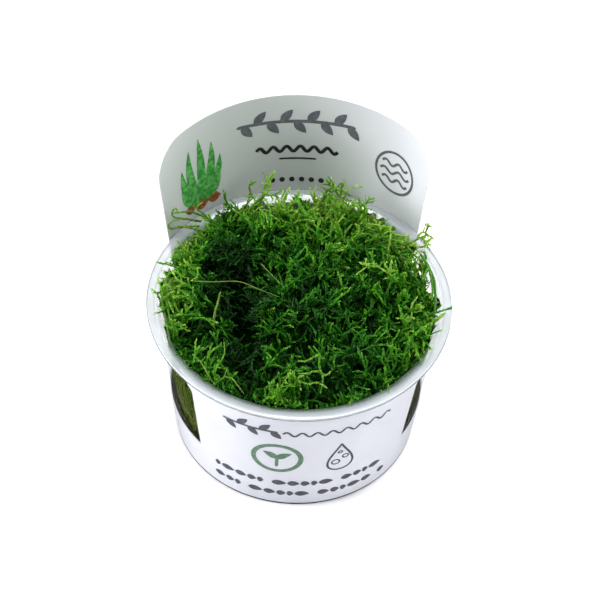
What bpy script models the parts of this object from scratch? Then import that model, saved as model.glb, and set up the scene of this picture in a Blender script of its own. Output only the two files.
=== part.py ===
"""Spiky moss in a clear tissue-culture cup with a wrap-round card.

Metres, +Z up. The origin is the centre of the cup's flat base, and the card's
tall back panel stands on the +Y side.
"""
import math
import random

import bmesh
import bpy
from mathutils import Vector, noise

OBJECT_NAME = "spiky_moss_cup"
MM = 0.001

# Cup: a turned clear wall with a flat flange and a small seat inside its rim
FLANGE_RADIUS = 45.0 * MM
FLANGE_HEIGHT = 50.2 * MM
FLANGE_THICKNESS = 1.2 * MM
SEAT_OUTER_RADIUS = 41.6 * MM
SEAT_INNER_RADIUS = 40.3 * MM
SEAT_DEPTH = 1.4 * MM
WALL_TOP_RADIUS = 42.15 * MM
WALL_TAPER = 0.1245
WALL_THICKNESS = 1.0 * MM
FLOOR_THICKNESS = 1.1 * MM
EDGE_ROUND = 0.4 * MM
CUP_STEPS = 60

# Card: a band round the foot, a panel in front and a tall panel behind
CARD_THICKNESS = 0.4 * MM
CARD_GAP = 0.33 * MM
CARD_FOOT = 0.4 * MM
CARD_TURN = math.radians(-5.7)
BAND_TOP = 14.9 * MM
FRONT_TOP = 49.5 * MM
FRONT_HALF_ANGLE = math.radians(51.0)
FRONT_CORNER = 2.0 * MM
EAR_ANGLE = math.radians(4.5)
EAR_START = 43.2 * MM
EAR_END = 46.0 * MM
BACK_PEAK = 84.15 * MM
BACK_ARCH = 4.3 * MM
BACK_HALF_ANGLE_TOP = math.radians(53.5)
BACK_HALF_ANGLE_FOOT = math.radians(59.0)
BACK_CORNER_ANGLE = math.radians(14.0)
BACK_CORNER_DROP = 9.0 * MM
BACK_LEAN = 0.0856
BACK_BEND = 2.0 * MM
BAND_ROWS = 1
PANEL_ROWS = 6
FRONT_COLUMNS = 14
BACK_COLUMNS = 20
GAP_COLUMNS = 7

# Moss: each tuft is (x, y, crown height over the cup's base), in millimetres
TUFTS = {
    "moss_tuft_back_left": (-18.0, 22.0, 63.0),
    "moss_tuft_back_right": (14.0, 24.0, 61.0),
    "moss_tuft_left": (-29.0, -4.0, 60.0),
    "moss_tuft_centre": (1.0, 2.0, 61.5),
    "moss_tuft_right": (28.0, 3.0, 60.5),
    "moss_tuft_front_left": (-14.0, -25.0, 57.5),
    "moss_tuft_front_right": (15.0, -24.0, 58.5),
}
# Hollows in the cushion: (x, y, half width, half length, depth), in millimetres
HOLLOWS = (
    (-16.0, -6.0, 5.5, 18.0, 12.0),
    (3.0, -19.0, 5.0, 4.5, 6.0),
    (13.0, -36.0, 7.0, 4.5, 5.0),
    (-1.0, 33.0, 4.5, 9.0, 9.0),
)
BACK_STEP_START = 30.5 * MM
BACK_STEP_WIDTH = 7.5 * MM
BACK_STEP_DROP = 13.0 * MM
TUFT_GAP = 0.7 * MM
WALL_CLEARANCE = 0.45 * MM
RIM_CLEARANCE = 0.45 * MM
OVERHANG_RADIUS = 43.8 * MM
OVERHANG_SPREAD = 0.2
TUFT_CORE_HEIGHT = 30.0 * MM
CROWN_DROP = 6.5 * MM
CROWN_ROUGHNESS = 2.6 * MM
LUMP_SIZE = 6.0 * MM
SHOOT_SHARE = 0.88
BENT_SHOOT_SHARE = 0.42
SHOOT_LENGTH = (4.0 * MM, 9.5 * MM)
LONG_SHOOT_SHARE = 0.07
LONG_SHOOT_LENGTH = (12.0 * MM, 17.0 * MM)
SHOOT_WAIST = 0.34
SHOOT_LOWEST = 38.0 * MM
DISSOLVE_ANGLE = math.radians(14.0)

# Colours are linear: base colour, roughness and how much light passes through
FINISHES = {
    "clear_plastic": ((0.86, 0.89, 0.89), 0.12, 0.9),
    "white_card": ((0.84, 0.85, 0.86), 0.35, 0.0),
    "moss": ((0.045, 0.16, 0.012), 0.6, 0.0),
}


def clear_scene():
    """Remove every object, so that the file builds the same from any start."""
    for item in list(bpy.data.objects):
        bpy.data.objects.remove(item, do_unlink=True)


def make_collection(name):
    """Return a new collection linked to the scene."""
    collection = bpy.data.collections.new(name)
    bpy.context.scene.collection.children.link(collection)
    return collection


def make_material(name, finish):
    """Return a Principled material for one of the finishes."""
    colour, roughness, transmission = FINISHES[finish]
    material = bpy.data.materials.new(name)
    material.use_nodes = True
    shader = material.node_tree.nodes["Principled BSDF"]
    shader.inputs["Base Color"].default_value = (*colour, 1.0)
    shader.inputs["Roughness"].default_value = roughness
    shader.inputs["Metallic"].default_value = 0.0
    shader.inputs["Transmission Weight"].default_value = transmission
    material.diffuse_color = (*colour, 1.0)
    return material


def add_object(name, mesh, finish, collection):
    """Link a mesh as a named object with its own material."""
    mesh.materials.append(make_material(name + "_finish", finish))
    item = bpy.data.objects.new(name, mesh)
    collection.objects.link(item)
    return item


def wall_radius(height):
    """Radius of the cup's outer wall at a height over its base."""
    return WALL_TOP_RADIUS - WALL_TAPER * (FLANGE_HEIGHT - height)


def inner_radius(height):
    """Radius of the cup's inner wall, which thickens towards the seat."""
    seat_height = FLANGE_HEIGHT + FLANGE_THICKNESS - SEAT_DEPTH
    plain = wall_radius(height) - WALL_THICKNESS
    return min(plain, SEAT_INNER_RADIUS - WALL_TAPER * 0.5 * max(0.0, seat_height - height))


def smooth_step(value):
    """Ease from 0 to 1 as the value goes from 0 to 1."""
    value = min(max(value, 0.0), 1.0)
    return value * value * (3.0 - 2.0 * value)


def cup_profile():
    """Half section of the cup, from the inside of the floor round to its underside."""
    rim_top = FLANGE_HEIGHT + FLANGE_THICKNESS
    seat = rim_top - SEAT_DEPTH
    foot_radius = wall_radius(0.0)
    points = [(0.0, FLOOR_THICKNESS), (inner_radius(FLOOR_THICKNESS) - 2.0 * EDGE_ROUND, FLOOR_THICKNESS)]
    points.append((inner_radius(3.0 * EDGE_ROUND), FLOOR_THICKNESS + 2.0 * EDGE_ROUND))
    for height in (0.5 * FLANGE_HEIGHT, 0.8 * FLANGE_HEIGHT):
        points.append((inner_radius(height), height))
    points.append((SEAT_INNER_RADIUS, seat - EDGE_ROUND))
    points.append((SEAT_INNER_RADIUS + EDGE_ROUND, seat))
    points.append((SEAT_OUTER_RADIUS - EDGE_ROUND, seat + EDGE_ROUND))
    points.append((SEAT_OUTER_RADIUS, rim_top))
    points.append((FLANGE_RADIUS - EDGE_ROUND, rim_top))
    points.append((FLANGE_RADIUS, rim_top - EDGE_ROUND))
    points.append((FLANGE_RADIUS, FLANGE_HEIGHT))
    points.append((wall_radius(FLANGE_HEIGHT), FLANGE_HEIGHT))
    points.append((foot_radius, EDGE_ROUND))
    points.append((foot_radius - EDGE_ROUND, 0.0))
    points.append((0.0, 0.0))
    return points


def build_cup(collection):
    """Turn the cup's half section into one clear shell."""
    points = [(radius, 0.0, height) for radius, height in cup_profile()]
    edges = [(index, index + 1) for index in range(len(points) - 1)]
    mesh = bpy.data.meshes.new("cup")
    mesh.from_pydata(points, edges, [])
    cup = add_object("cup", mesh, "clear_plastic", collection)
    screw = cup.modifiers.new("turn", "SCREW")
    screw.axis = "Z"
    screw.steps = CUP_STEPS
    screw.render_steps = CUP_STEPS
    screw.use_merge_vertices = True
    screw.merge_threshold = 0.00001
    screw.use_smooth_shade = True
    return cup


def band_radius(height):
    """Radius of the middle of the card where it lies against the cup."""
    return wall_radius(height) + CARD_GAP + 0.5 * CARD_THICKNESS


def back_radius(height):
    """Radius of the middle of the back panel, which leans out past the flange."""
    rise = max(0.0, height - BAND_TOP)
    return band_radius(height) + BACK_LEAN * rise * rise / (rise + BACK_BEND)


def back_top(share):
    """Height of the back panel's top edge: a low arch with round corners."""
    angle = abs(share) * BACK_HALF_ANGLE_TOP
    height = BACK_PEAK - BACK_ARCH * share * share
    past = (angle - (BACK_HALF_ANGLE_TOP - BACK_CORNER_ANGLE)) / BACK_CORNER_ANGLE
    if past > 0.0:
        height -= BACK_CORNER_DROP * (1.0 - math.sqrt(max(0.0, 1.0 - past * past)))
    return height


def back_half_angle(height):
    """Half angle of the back panel at a height: a little wider at its foot."""
    share = (height - BAND_TOP) / (back_top(1.0) - BAND_TOP)
    return BACK_HALF_ANGLE_FOOT + (BACK_HALF_ANGLE_TOP - BACK_HALF_ANGLE_FOOT) * min(share, 1.0)


def front_top(share):
    """Height of the front panel's top edge, just under the flange."""
    reach = FRONT_HALF_ANGLE * WALL_TOP_RADIUS
    past = (abs(share) * reach - (reach - FRONT_CORNER)) / FRONT_CORNER
    if past <= 0.0:
        return FRONT_TOP
    return FRONT_TOP - FRONT_CORNER * (1.0 - math.sqrt(max(0.0, 1.0 - past * past)))


def front_half_angle(height):
    """Half angle of the front panel, with small ears at its top corners."""
    return FRONT_HALF_ANGLE + EAR_ANGLE * smooth_step((height - EAR_START) / (EAR_END - EAR_START))


def edge_weighted(columns):
    """Shares from -1 to 1, closer together near the two edges."""
    return [math.sin(math.pi * (index / columns - 0.5)) for index in range(columns + 1)]


def card_point(angle, height, radius):
    """Point on the card: angle 0 is the middle of the back panel."""
    turned = angle + CARD_TURN
    return (radius * math.sin(turned), radius * math.cos(turned), height)


def card_columns():
    """Yield (kind, share, angle at the band) once round the card."""
    for share in edge_weighted(BACK_COLUMNS):
        yield "back", share, share * BACK_HALF_ANGLE_FOOT
    gap_start = BACK_HALF_ANGLE_FOOT
    gap_end = math.pi - FRONT_HALF_ANGLE
    for index in range(1, GAP_COLUMNS):
        yield "gap", 0.0, gap_start + (gap_end - gap_start) * index / GAP_COLUMNS
    for share in edge_weighted(FRONT_COLUMNS):
        yield "front", share, math.pi + share * FRONT_HALF_ANGLE
    for index in range(1, GAP_COLUMNS):
        yield "gap", 0.0, -gap_end + (gap_end - gap_start) * index / GAP_COLUMNS


def panel_point(kind, share, row_share):
    """Point on a panel, from the band's top edge up to the panel's own."""
    if kind == "back":
        height = BAND_TOP + row_share * (back_top(share) - BAND_TOP)
        return card_point(share * back_half_angle(height), height, back_radius(height))
    height = BAND_TOP + row_share * (front_top(share) - BAND_TOP)
    return card_point(math.pi + share * front_half_angle(height), height, band_radius(height))


def build_card(collection):
    """Make the card as one open sheet, then give it its thickness."""
    sheet = bmesh.new()
    columns = []
    for kind, share, angle in card_columns():
        column = []
        for row in range(BAND_ROWS + 1):
            height = CARD_FOOT + (BAND_TOP - CARD_FOOT) * row / BAND_ROWS
            column.append(sheet.verts.new(card_point(angle, height, band_radius(height))))
        if kind != "gap":
            for row in range(1, PANEL_ROWS + 1):
                column.append(sheet.verts.new(panel_point(kind, share, row / PANEL_ROWS)))
        columns.append(column)
    for index, column in enumerate(columns):
        following = columns[(index + 1) % len(columns)]
        for row in range(min(len(column), len(following)) - 1):
            corners = (column[row], column[row + 1], following[row + 1], following[row])
            sheet.faces.new(corners)
    mesh = bpy.data.meshes.new("label_card")
    sheet.normal_update()
    sheet.to_mesh(mesh)
    sheet.free()
    mesh.shade_smooth()
    card = add_object("label_card", mesh, "white_card", collection)
    solid = card.modifiers.new("thickness", "SOLIDIFY")
    solid.thickness = CARD_THICKNESS
    solid.offset = 0.0
    solid.use_even_offset = True
    return card


def cushion_drop(x, y):
    """How far the cushion lies lower in its hollows and along the cup's back wall."""
    drop = 0.0
    for middle_x, middle_y, half_width, half_length, depth in HOLLOWS:
        across = (x / MM - middle_x) / half_width
        along = (y / MM - middle_y) / half_length
        drop = max(drop, depth * MM * math.exp(-across ** 2 - along ** 4))
    radius = math.hypot(x, y)
    towards_back = smooth_step(0.5 + 1.1 * y / max(radius, MM))
    step = smooth_step((radius - BACK_STEP_START) / BACK_STEP_WIDTH)
    return drop + BACK_STEP_DROP * towards_back * step


def crown_height(x, y, crown):
    """Height of a tuft's body, which falls towards the cup's wall and is lumpy."""
    fall = CROWN_DROP * (math.hypot(x, y) / SEAT_INNER_RADIUS) ** 3
    lumps = noise.noise(Vector((x, y, crown)) / LUMP_SIZE)
    return crown - fall - cushion_drop(x, y) + CROWN_ROUGHNESS * lumps - SHOOT_LENGTH[0]


def in_tuft_space(point, seed, others):
    """True where a tuft may grow: in its own sector, clear of the cup."""
    radius = math.hypot(point.x, point.y)
    above_rim = point.z - (FLANGE_HEIGHT + FLANGE_THICKNESS)
    if point.z < FLOOR_THICKNESS + WALL_CLEARANCE:
        return False
    if above_rim < RIM_CLEARANCE:
        if radius > inner_radius(max(point.z, 3.0 * EDGE_ROUND)) - WALL_CLEARANCE:
            return False
    elif radius > OVERHANG_RADIUS + OVERHANG_SPREAD * above_rim:
        return False
    for other in others:
        across = other - seed
        middle = 0.5 * (other + seed)
        if (point.xy - middle).dot(across.normalized()) > -0.5 * TUFT_GAP:
            return False
    return True


def reach(start, direction, length, allowed):
    """Longest straight run from start, up to length, that stays allowed."""
    steps = 16
    best = 0.0
    for index in range(1, steps + 1):
        run = length * index / steps
        if not allowed(start + direction * run):
            break
        best = run
    return best


def tuft_body(body, seed, others, crown):
    """Push a sphere's points out to the walls of the tuft's space."""
    core = Vector((seed.x, seed.y, TUFT_CORE_HEIGHT))

    def allowed(point):
        if not in_tuft_space(point, seed, others):
            return False
        return point.z < crown_height(point.x, point.y, crown)

    for vert in body.verts:
        direction = vert.co.normalized()
        low, high = 0.0, 2.0 * FLANGE_HEIGHT
        for _ in range(22):
            middle = 0.5 * (low + high)
            if allowed(core + direction * middle):
                low = middle
            else:
                high = middle
        vert.co = core + direction * low


def grow_shoots(body, seed, others, draw):
    """Draw some of the crown's faces out into bent, pointed shoots."""

    def allowed(point):
        return in_tuft_space(point, seed, others)

    body.normal_update()
    crown_faces = [face for face in body.faces
                   if face.normal.z > 0.35 and face.calc_center_median().z > SHOOT_LOWEST]
    for face in crown_faces:
        chance = draw.random()
        length = draw.uniform(*SHOOT_LENGTH)
        lean = Vector((draw.uniform(-1.0, 1.0), draw.uniform(-1.0, 1.0), 0.0))
        if chance > SHOOT_SHARE:
            continue
        if chance < LONG_SHOOT_SHARE:
            length = draw.uniform(*LONG_SHOOT_LENGTH)
        centre = face.calc_center_median()
        start = (0.6 * face.normal + Vector((0.0, 0.0, 0.8)) + 0.25 * lean).normalized()
        if chance > BENT_SHOOT_SHARE:
            tip = bmesh.ops.poke(body, faces=[face])["verts"][0]
            tip.co = centre + 0.9 * start * reach(centre, start, 0.8 * length, allowed)
            continue
        half = reach(centre, start, 0.5 * length, allowed)
        grown = bmesh.ops.extrude_discrete_faces(body, faces=[face])["faces"][0]
        waist = centre + 0.9 * start * half
        for vert in grown.verts:
            vert.co = waist + SHOOT_WAIST * (vert.co - centre)
        end = (start + 0.45 * lean).normalized()
        rest = reach(waist, end, 0.5 * length, allowed)
        tip = bmesh.ops.poke(body, faces=[grown])["verts"][0]
        tip.co = waist + 0.9 * end * max(rest, 0.3 * MM)


def build_tuft(name, order, collection):
    """Build one tuft of moss as a closed body with its pointed shoots."""
    x, y, crown = (value * MM for value in TUFTS[name])
    seed = Vector((x, y))
    others = [Vector((row[0], row[1])) * MM for key, row in TUFTS.items() if key != name]
    body = bmesh.new()
    bmesh.ops.create_icosphere(body, subdivisions=4, radius=1.0)
    tuft_body(body, seed, others, crown)
    bmesh.ops.dissolve_limit(body, angle_limit=DISSOLVE_ANGLE, verts=body.verts, edges=body.edges)
    bmesh.ops.triangulate(body, faces=body.faces)
    grow_shoots(body, seed, others, random.Random(order))
    mesh = bpy.data.meshes.new(name)
    body.to_mesh(mesh)
    body.free()
    return add_object(name, mesh, "moss", collection)


def main():
    """Build the cup, its card and the tufts of moss."""
    clear_scene()
    collection = make_collection(OBJECT_NAME)
    build_cup(collection)
    build_card(collection)
    for order, name in enumerate(TUFTS):
        build_tuft(name, order, collection)


main()
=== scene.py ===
"""Spiky moss in a clear tissue-culture cup: the finish of every surface.

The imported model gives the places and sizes. This script dresses it: a fine
turned cup, a smooth card with its print, and moss made of leafy shoots.
"""
import logging
import math
from dataclasses import dataclass, field
from enum import Enum
from typing import Callable, Iterable

import bmesh
import bpy
import numpy as np
from mathutils import Matrix, Vector, noise
from mathutils.bvhtree import BVHTree


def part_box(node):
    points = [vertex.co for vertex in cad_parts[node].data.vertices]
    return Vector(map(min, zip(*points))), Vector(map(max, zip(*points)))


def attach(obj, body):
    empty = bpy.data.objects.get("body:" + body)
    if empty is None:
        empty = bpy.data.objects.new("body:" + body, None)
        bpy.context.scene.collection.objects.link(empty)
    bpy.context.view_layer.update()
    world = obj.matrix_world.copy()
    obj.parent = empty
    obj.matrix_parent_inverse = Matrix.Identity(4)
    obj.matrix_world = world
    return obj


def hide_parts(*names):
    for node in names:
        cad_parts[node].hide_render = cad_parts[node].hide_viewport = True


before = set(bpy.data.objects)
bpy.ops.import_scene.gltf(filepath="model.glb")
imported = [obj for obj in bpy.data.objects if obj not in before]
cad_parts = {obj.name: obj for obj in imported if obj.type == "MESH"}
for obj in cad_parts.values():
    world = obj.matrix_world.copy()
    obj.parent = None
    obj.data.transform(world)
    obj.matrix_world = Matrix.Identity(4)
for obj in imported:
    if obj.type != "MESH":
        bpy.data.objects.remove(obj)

LOG = logging.getLogger("moss_cup")
MM = 0.001
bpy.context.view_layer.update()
IMAGE_SIDE = 600

Point = tuple[float, float]
Flat = Callable[[float, float], tuple[float, float, float]]


def linear(code: str) -> tuple[float, float, float, float]:
    """Turn an sRGB hex code into linear colour.

    Args:
        code: Six hex digits with a leading hash.

    Returns:
        Linear red, green and blue, and an alpha of 1.
    """
    parts = [int(code[start:start + 2], 16) / 255.0 for start in (1, 3, 5)]
    bent = [part / 12.92 if part <= 0.04045 else ((part + 0.055) / 1.055) ** 2.4 for part in parts]
    return (bent[0], bent[1], bent[2], 1.0)


def add_node(tree: bpy.types.NodeTree, kind: str, settings: dict | None = None,
             links: dict | None = None) -> bpy.types.Node:
    """Add one node with its settings and links.

    Args:
        tree: The tree that gets the node.
        kind: Blender's name of the node's type.
        settings: Attribute names, or input names and numbers, with their values.
        links: Input names or numbers, each with the output socket that feeds it.

    Returns:
        The new node.
    """
    node = tree.nodes.new(kind)
    for key, value in (settings or {}).items():
        if isinstance(key, int) or key in node.inputs:
            node.inputs[key].default_value = value
        else:
            setattr(node, key, value)
    for key, socket in (links or {}).items():
        tree.links.new(socket, node.inputs[key])
    return node


def add_ramp(tree: bpy.types.NodeTree, factor: bpy.types.NodeSocket,
             stops: Iterable[tuple[float, str]]) -> bpy.types.NodeSocket:
    """Add a colour ramp.

    Args:
        tree: The tree that gets the ramp.
        factor: The output that picks the place on the ramp.
        stops: Each stop's place, from 0 to 1, and its hex code.

    Returns:
        The ramp's colour output.
    """
    node = add_node(tree, "ShaderNodeValToRGB", links={"Fac": factor})
    stops = list(stops)
    ramp = node.color_ramp
    while len(ramp.elements) < len(stops):
        ramp.elements.new(0.5)
    for element, (place, code) in zip(ramp.elements, stops):
        element.position = place
        element.color = linear(code)
    return node.outputs["Color"]


def new_material(name: str) -> tuple[bpy.types.Material, bpy.types.NodeTree, bpy.types.Node]:
    """Start a material.

    Args:
        name: The material's name.

    Returns:
        The material, its tree and its Principled shader.
    """
    material = bpy.data.materials.new(name)
    material.use_nodes = True
    tree = material.node_tree
    return material, tree, tree.nodes["Principled BSDF"]


def pattern_place(tree: bpy.types.NodeTree) -> bpy.types.NodeSocket:
    """Return the object's own coordinates, in metres, for a pattern."""
    return add_node(tree, "ShaderNodeTexCoord").outputs["Object"]


def add_bump(tree: bpy.types.NodeTree, shader: bpy.types.Node, height: bpy.types.NodeSocket,
             depth_mm: float) -> None:
    """Raise a surface by a pattern.

    Args:
        tree: The material's tree.
        shader: The shader whose normal is bent.
        height: The pattern, from 0 to 1.
        depth_mm: How far it rises, in millimetres.
    """
    bump = add_node(tree, "ShaderNodeBump", {"Distance": depth_mm * MM, "Strength": 1.0},
                    {"Height": height})
    tree.links.new(bump.outputs["Normal"], shader.inputs["Normal"])


@dataclass(frozen=True)
class ClearPolypropylene:
    """Injection-moulded clear polypropylene: a thin wall, see-through, with gloss at a slant."""

    # Dark olive film colour: painted shade of the moss seen through the wall
    olive_film_shade: str = "#53571F"
    ior: float = 1.49
    roughness: float = 0.09
    haze_share: float = 0.04
    slant_share: float = 0.25
    slant_power: float = 4.0
    ripple_mm: float = 9.0
    ripple_depth_mm: float = 0.02

    def make(self) -> bpy.types.Material:
        """Make the material: light goes straight through, a slanting view mirrors more of it, and its faint
        film is painted dark olive for the shaded moss behind.

        Returns:
            The material.
        """
        material, tree, shader = new_material("clear_moulded_polypropylene")
        shader.inputs["Base Color"].default_value = linear(self.olive_film_shade)
        shader.inputs["Roughness"].default_value = self.roughness
        shader.inputs["IOR"].default_value = self.ior
        slant = add_node(tree, "ShaderNodeLayerWeight", {"Blend": 0.5})
        steep = add_node(tree, "ShaderNodeMath", {"operation": "POWER", 1: self.slant_power},
                         {0: slant.outputs["Facing"]})
        share = add_node(tree, "ShaderNodeMath", {"operation": "MULTIPLY_ADD", "use_clamp": True,
                                                  1: self.slant_share, 2: self.haze_share},
                         {0: steep.outputs[0]})
        tree.links.new(share.outputs[0], shader.inputs["Alpha"])
        ripple = add_node(tree, "ShaderNodeTexNoise",
                          {"Scale": 1.0 / (self.ripple_mm * MM), "Detail": 1.0},
                          {"Vector": pattern_place(tree)})
        add_bump(tree, shader, ripple.outputs["Fac"], self.ripple_depth_mm)
        return material


@dataclass(frozen=True)
class MilkyPolypropylene:
    """The same plastic where it is thick: a polished milky flange, clearer where it is seen at a slant."""

    # The inner lip's grey-green is painted shade for the moss seen through it
    lip: str = "#82938A"
    flange: str = "#C6CCD1"
    cloud_mm: float = 5.0
    lip_mm: float = 41.6
    flange_mm: float = 43.2
    wander_mm: float = 0.7
    body_square: float = 0.92
    body_flat: float = 0.52
    body_slant: float = 0.42
    flat_from: float = 0.12
    flat_to: float = 0.21
    slant_from: float = 0.36
    slant_to: float = 0.6
    roughness: float = 0.08
    coat_roughness: float = 0.06
    grain_mm: float = 0.35
    grain_depth_mm: float = 0.0015

    def make(self) -> bpy.types.Material:
        """Make the material: milky white with faint clouds, and grey-green at the inner lip, partly the moss
        showing through and partly painted shade.

        Returns:
            The material.
        """
        material, tree, shader = new_material("polished_milky_polypropylene")
        place = pattern_place(tree)
        flat = add_node(tree, "ShaderNodeVectorMath", {"operation": "MULTIPLY", 1: (1.0, 1.0, 0.0)},
                        {0: place})
        radius = add_node(tree, "ShaderNodeVectorMath", {"operation": "LENGTH"}, {0: flat.outputs[0]})
        cloud = add_node(tree, "ShaderNodeTexNoise", {"Scale": 1.0 / (self.cloud_mm * MM), "Detail": 3.0},
                         {"Vector": place})
        shifted = add_node(tree, "ShaderNodeMath", {"operation": "MULTIPLY_ADD", 1: self.wander_mm * MM},
                           {0: cloud.outputs["Fac"], 2: radius.outputs["Value"]})
        share = add_node(tree, "ShaderNodeMapRange", {1: self.lip_mm * MM, 2: self.flange_mm * MM},
                         {0: shifted.outputs[0]})
        # Painted shade: the colour darkens to grey-green towards the inner lip
        colour = add_ramp(tree, share.outputs[0], [(0.0, self.lip), (1.0, self.flange)])
        tree.links.new(colour, shader.inputs["Base Color"])
        slant = add_node(tree, "ShaderNodeLayerWeight").outputs["Facing"]
        steep = add_node(tree, "ShaderNodeMapRange",
                         {1: self.flat_from, 2: self.flat_to, 3: self.body_square, 4: self.body_flat},
                         {0: slant})
        loss = self.body_flat - self.body_slant
        body = add_node(tree, "ShaderNodeMapRange", {1: self.slant_from, 2: self.slant_to, 3: 0.0, 4: loss},
                        {0: slant})
        alpha = add_node(tree, "ShaderNodeMath", {"operation": "SUBTRACT"},
                         {0: steep.outputs[0], 1: body.outputs[0]})
        tree.links.new(alpha.outputs[0], shader.inputs["Alpha"])
        shader.inputs["Roughness"].default_value = self.roughness
        shader.inputs["Specular IOR Level"].default_value = 1.0
        shader.inputs["Coat Weight"].default_value = 1.0
        shader.inputs["Coat Roughness"].default_value = self.coat_roughness
        grain = add_node(tree, "ShaderNodeTexNoise", {"Scale": 1.0 / (self.grain_mm * MM), "Detail": 2.0},
                         {"Vector": place})
        add_bump(tree, shader, grain.outputs["Fac"], self.grain_depth_mm)
        return material


@dataclass(frozen=True)
class EdgePaintedShade:
    """Painted shade on the sharp lower edges of the clear plastic: a dark line under the flange's rim and
    round the foot.
    """

    # Dark grey painted shade, standing in for the shadow under the rim and at the foot
    dark: str = "#33383B"
    light: str = "#666D71"
    patch_mm: float = 3.0
    roughness: float = 0.25

    def make(self) -> bpy.types.Material:
        """Make the material: glossy dark grey painted shade that varies a little along the edge.

        Returns:
            The material.
        """
        material, tree, shader = new_material("plastic_edge_painted_shade")
        patch = add_node(tree, "ShaderNodeTexNoise", {"Scale": 1.0 / (self.patch_mm * MM)},
                         {"Vector": pattern_place(tree)})
        colour = add_ramp(tree, patch.outputs["Fac"], [(0.35, self.dark), (0.7, self.light)])
        tree.links.new(colour, shader.inputs["Base Color"])
        shader.inputs["Roughness"].default_value = self.roughness
        return material


@dataclass(frozen=True)
class CoatedCard:
    """White film card, coated and printed: satin, painted green-grey where it stands over the moss, for the
    moss's shade and reflection.
    """

    base: str = "#EDEEF5"
    shade: str = "#E6E7F0"
    # Green-grey painted shade and reflection of the moss, strongest at the middle spot and gone by the far
    # distance
    moss_shade: str = "#C2C8C4"
    shade_middle_mm: tuple = (-20.0, 42.0, 64.0)
    shade_near_mm: float = 15.0
    shade_far_mm: float = 70.0
    roughness: float = 0.3
    coat: float = 0.25
    coat_roughness: float = 0.12
    through: float = 0.12
    mottle_mm: float = 14.0
    fibre_mm: float = 0.5
    fibre_depth_mm: float = 0.006

    def make(self) -> bpy.types.Material:
        """Make the material: a barely visible mottle under a thin coat, a painted green-grey shade round a
        spot over the moss, and a little light let through.

        Returns:
            The material.
        """
        material, tree, shader = new_material("white_coated_film_card")
        place = pattern_place(tree)
        mottle = add_node(tree, "ShaderNodeTexNoise", {"Scale": 1.0 / (self.mottle_mm * MM), "Detail": 2.0},
                          {"Vector": place})
        white = add_ramp(tree, mottle.outputs["Fac"], [(0.3, self.shade), (0.7, self.base)])
        # Painted shade: the white turns green-grey towards the middle spot over the moss
        middle = tuple(value * MM for value in self.shade_middle_mm)
        apart = add_node(tree, "ShaderNodeVectorMath", {"operation": "DISTANCE", 1: middle}, {0: place})
        shade_share = add_node(tree, "ShaderNodeMapRange",
                         {"interpolation_type": "SMOOTHSTEP", 1: self.shade_near_mm * MM,
                          2: self.shade_far_mm * MM, 3: 1.0, 4: 0.0}, {0: apart.outputs["Value"]})
        shaded_white = add_node(tree, "ShaderNodeMix", {"data_type": "RGBA", 7: linear(self.moss_shade)},
                          {0: shade_share.outputs[0], 6: white})
        colour = shaded_white.outputs[2]
        tree.links.new(colour, shader.inputs["Base Color"])
        shader.inputs["Roughness"].default_value = self.roughness
        shader.inputs["Coat Weight"].default_value = self.coat
        shader.inputs["Coat Roughness"].default_value = self.coat_roughness
        fibre = add_node(tree, "ShaderNodeTexNoise", {"Scale": 1.0 / (self.fibre_mm * MM), "Detail": 2.0},
                         {"Vector": place})
        add_bump(tree, shader, fibre.outputs["Fac"], self.fibre_depth_mm)
        glow = add_node(tree, "ShaderNodeBsdfTranslucent", links={"Color": colour})
        both = add_node(tree, "ShaderNodeMixShader", {0: self.through},
                        {1: shader.outputs[0], 2: glow.outputs[0]})
        tree.links.new(both.outputs[0], tree.nodes["Material Output"].inputs["Surface"])
        return material


class Ink(Enum):
    """The inks of the print: name, full colour and a slightly worn one."""

    CHARCOAL = ("charcoal", "#55585E", "#666A70")
    BLACK = ("black", "#1C1D20", "#303237")
    SAGE = ("sage", "#5F8168", "#7B997F")
    LEAF = ("leaf", "#2F7D35", "#67B25C")
    BARK = ("bark", "#7A3E22", "#A5633D")

    def make(self) -> bpy.types.Material:
        """Make the ink's material: offset ink, satin and a little uneven.

        Returns:
            The material.
        """
        name, full, worn = self.value
        spread_mm, roughness = 1.2, 0.35
        material, tree, shader = new_material(f"offset_ink_{name}")
        mottle = add_node(tree, "ShaderNodeTexNoise", {"Scale": 1.0 / (spread_mm * MM), "Detail": 3.0},
                          {"Vector": pattern_place(tree)})
        colour = add_ramp(tree, mottle.outputs["Fac"], [(0.42, full), (0.68, worn)])
        tree.links.new(colour, shader.inputs["Base Color"])
        shader.inputs["Roughness"].default_value = roughness
        return material


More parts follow.
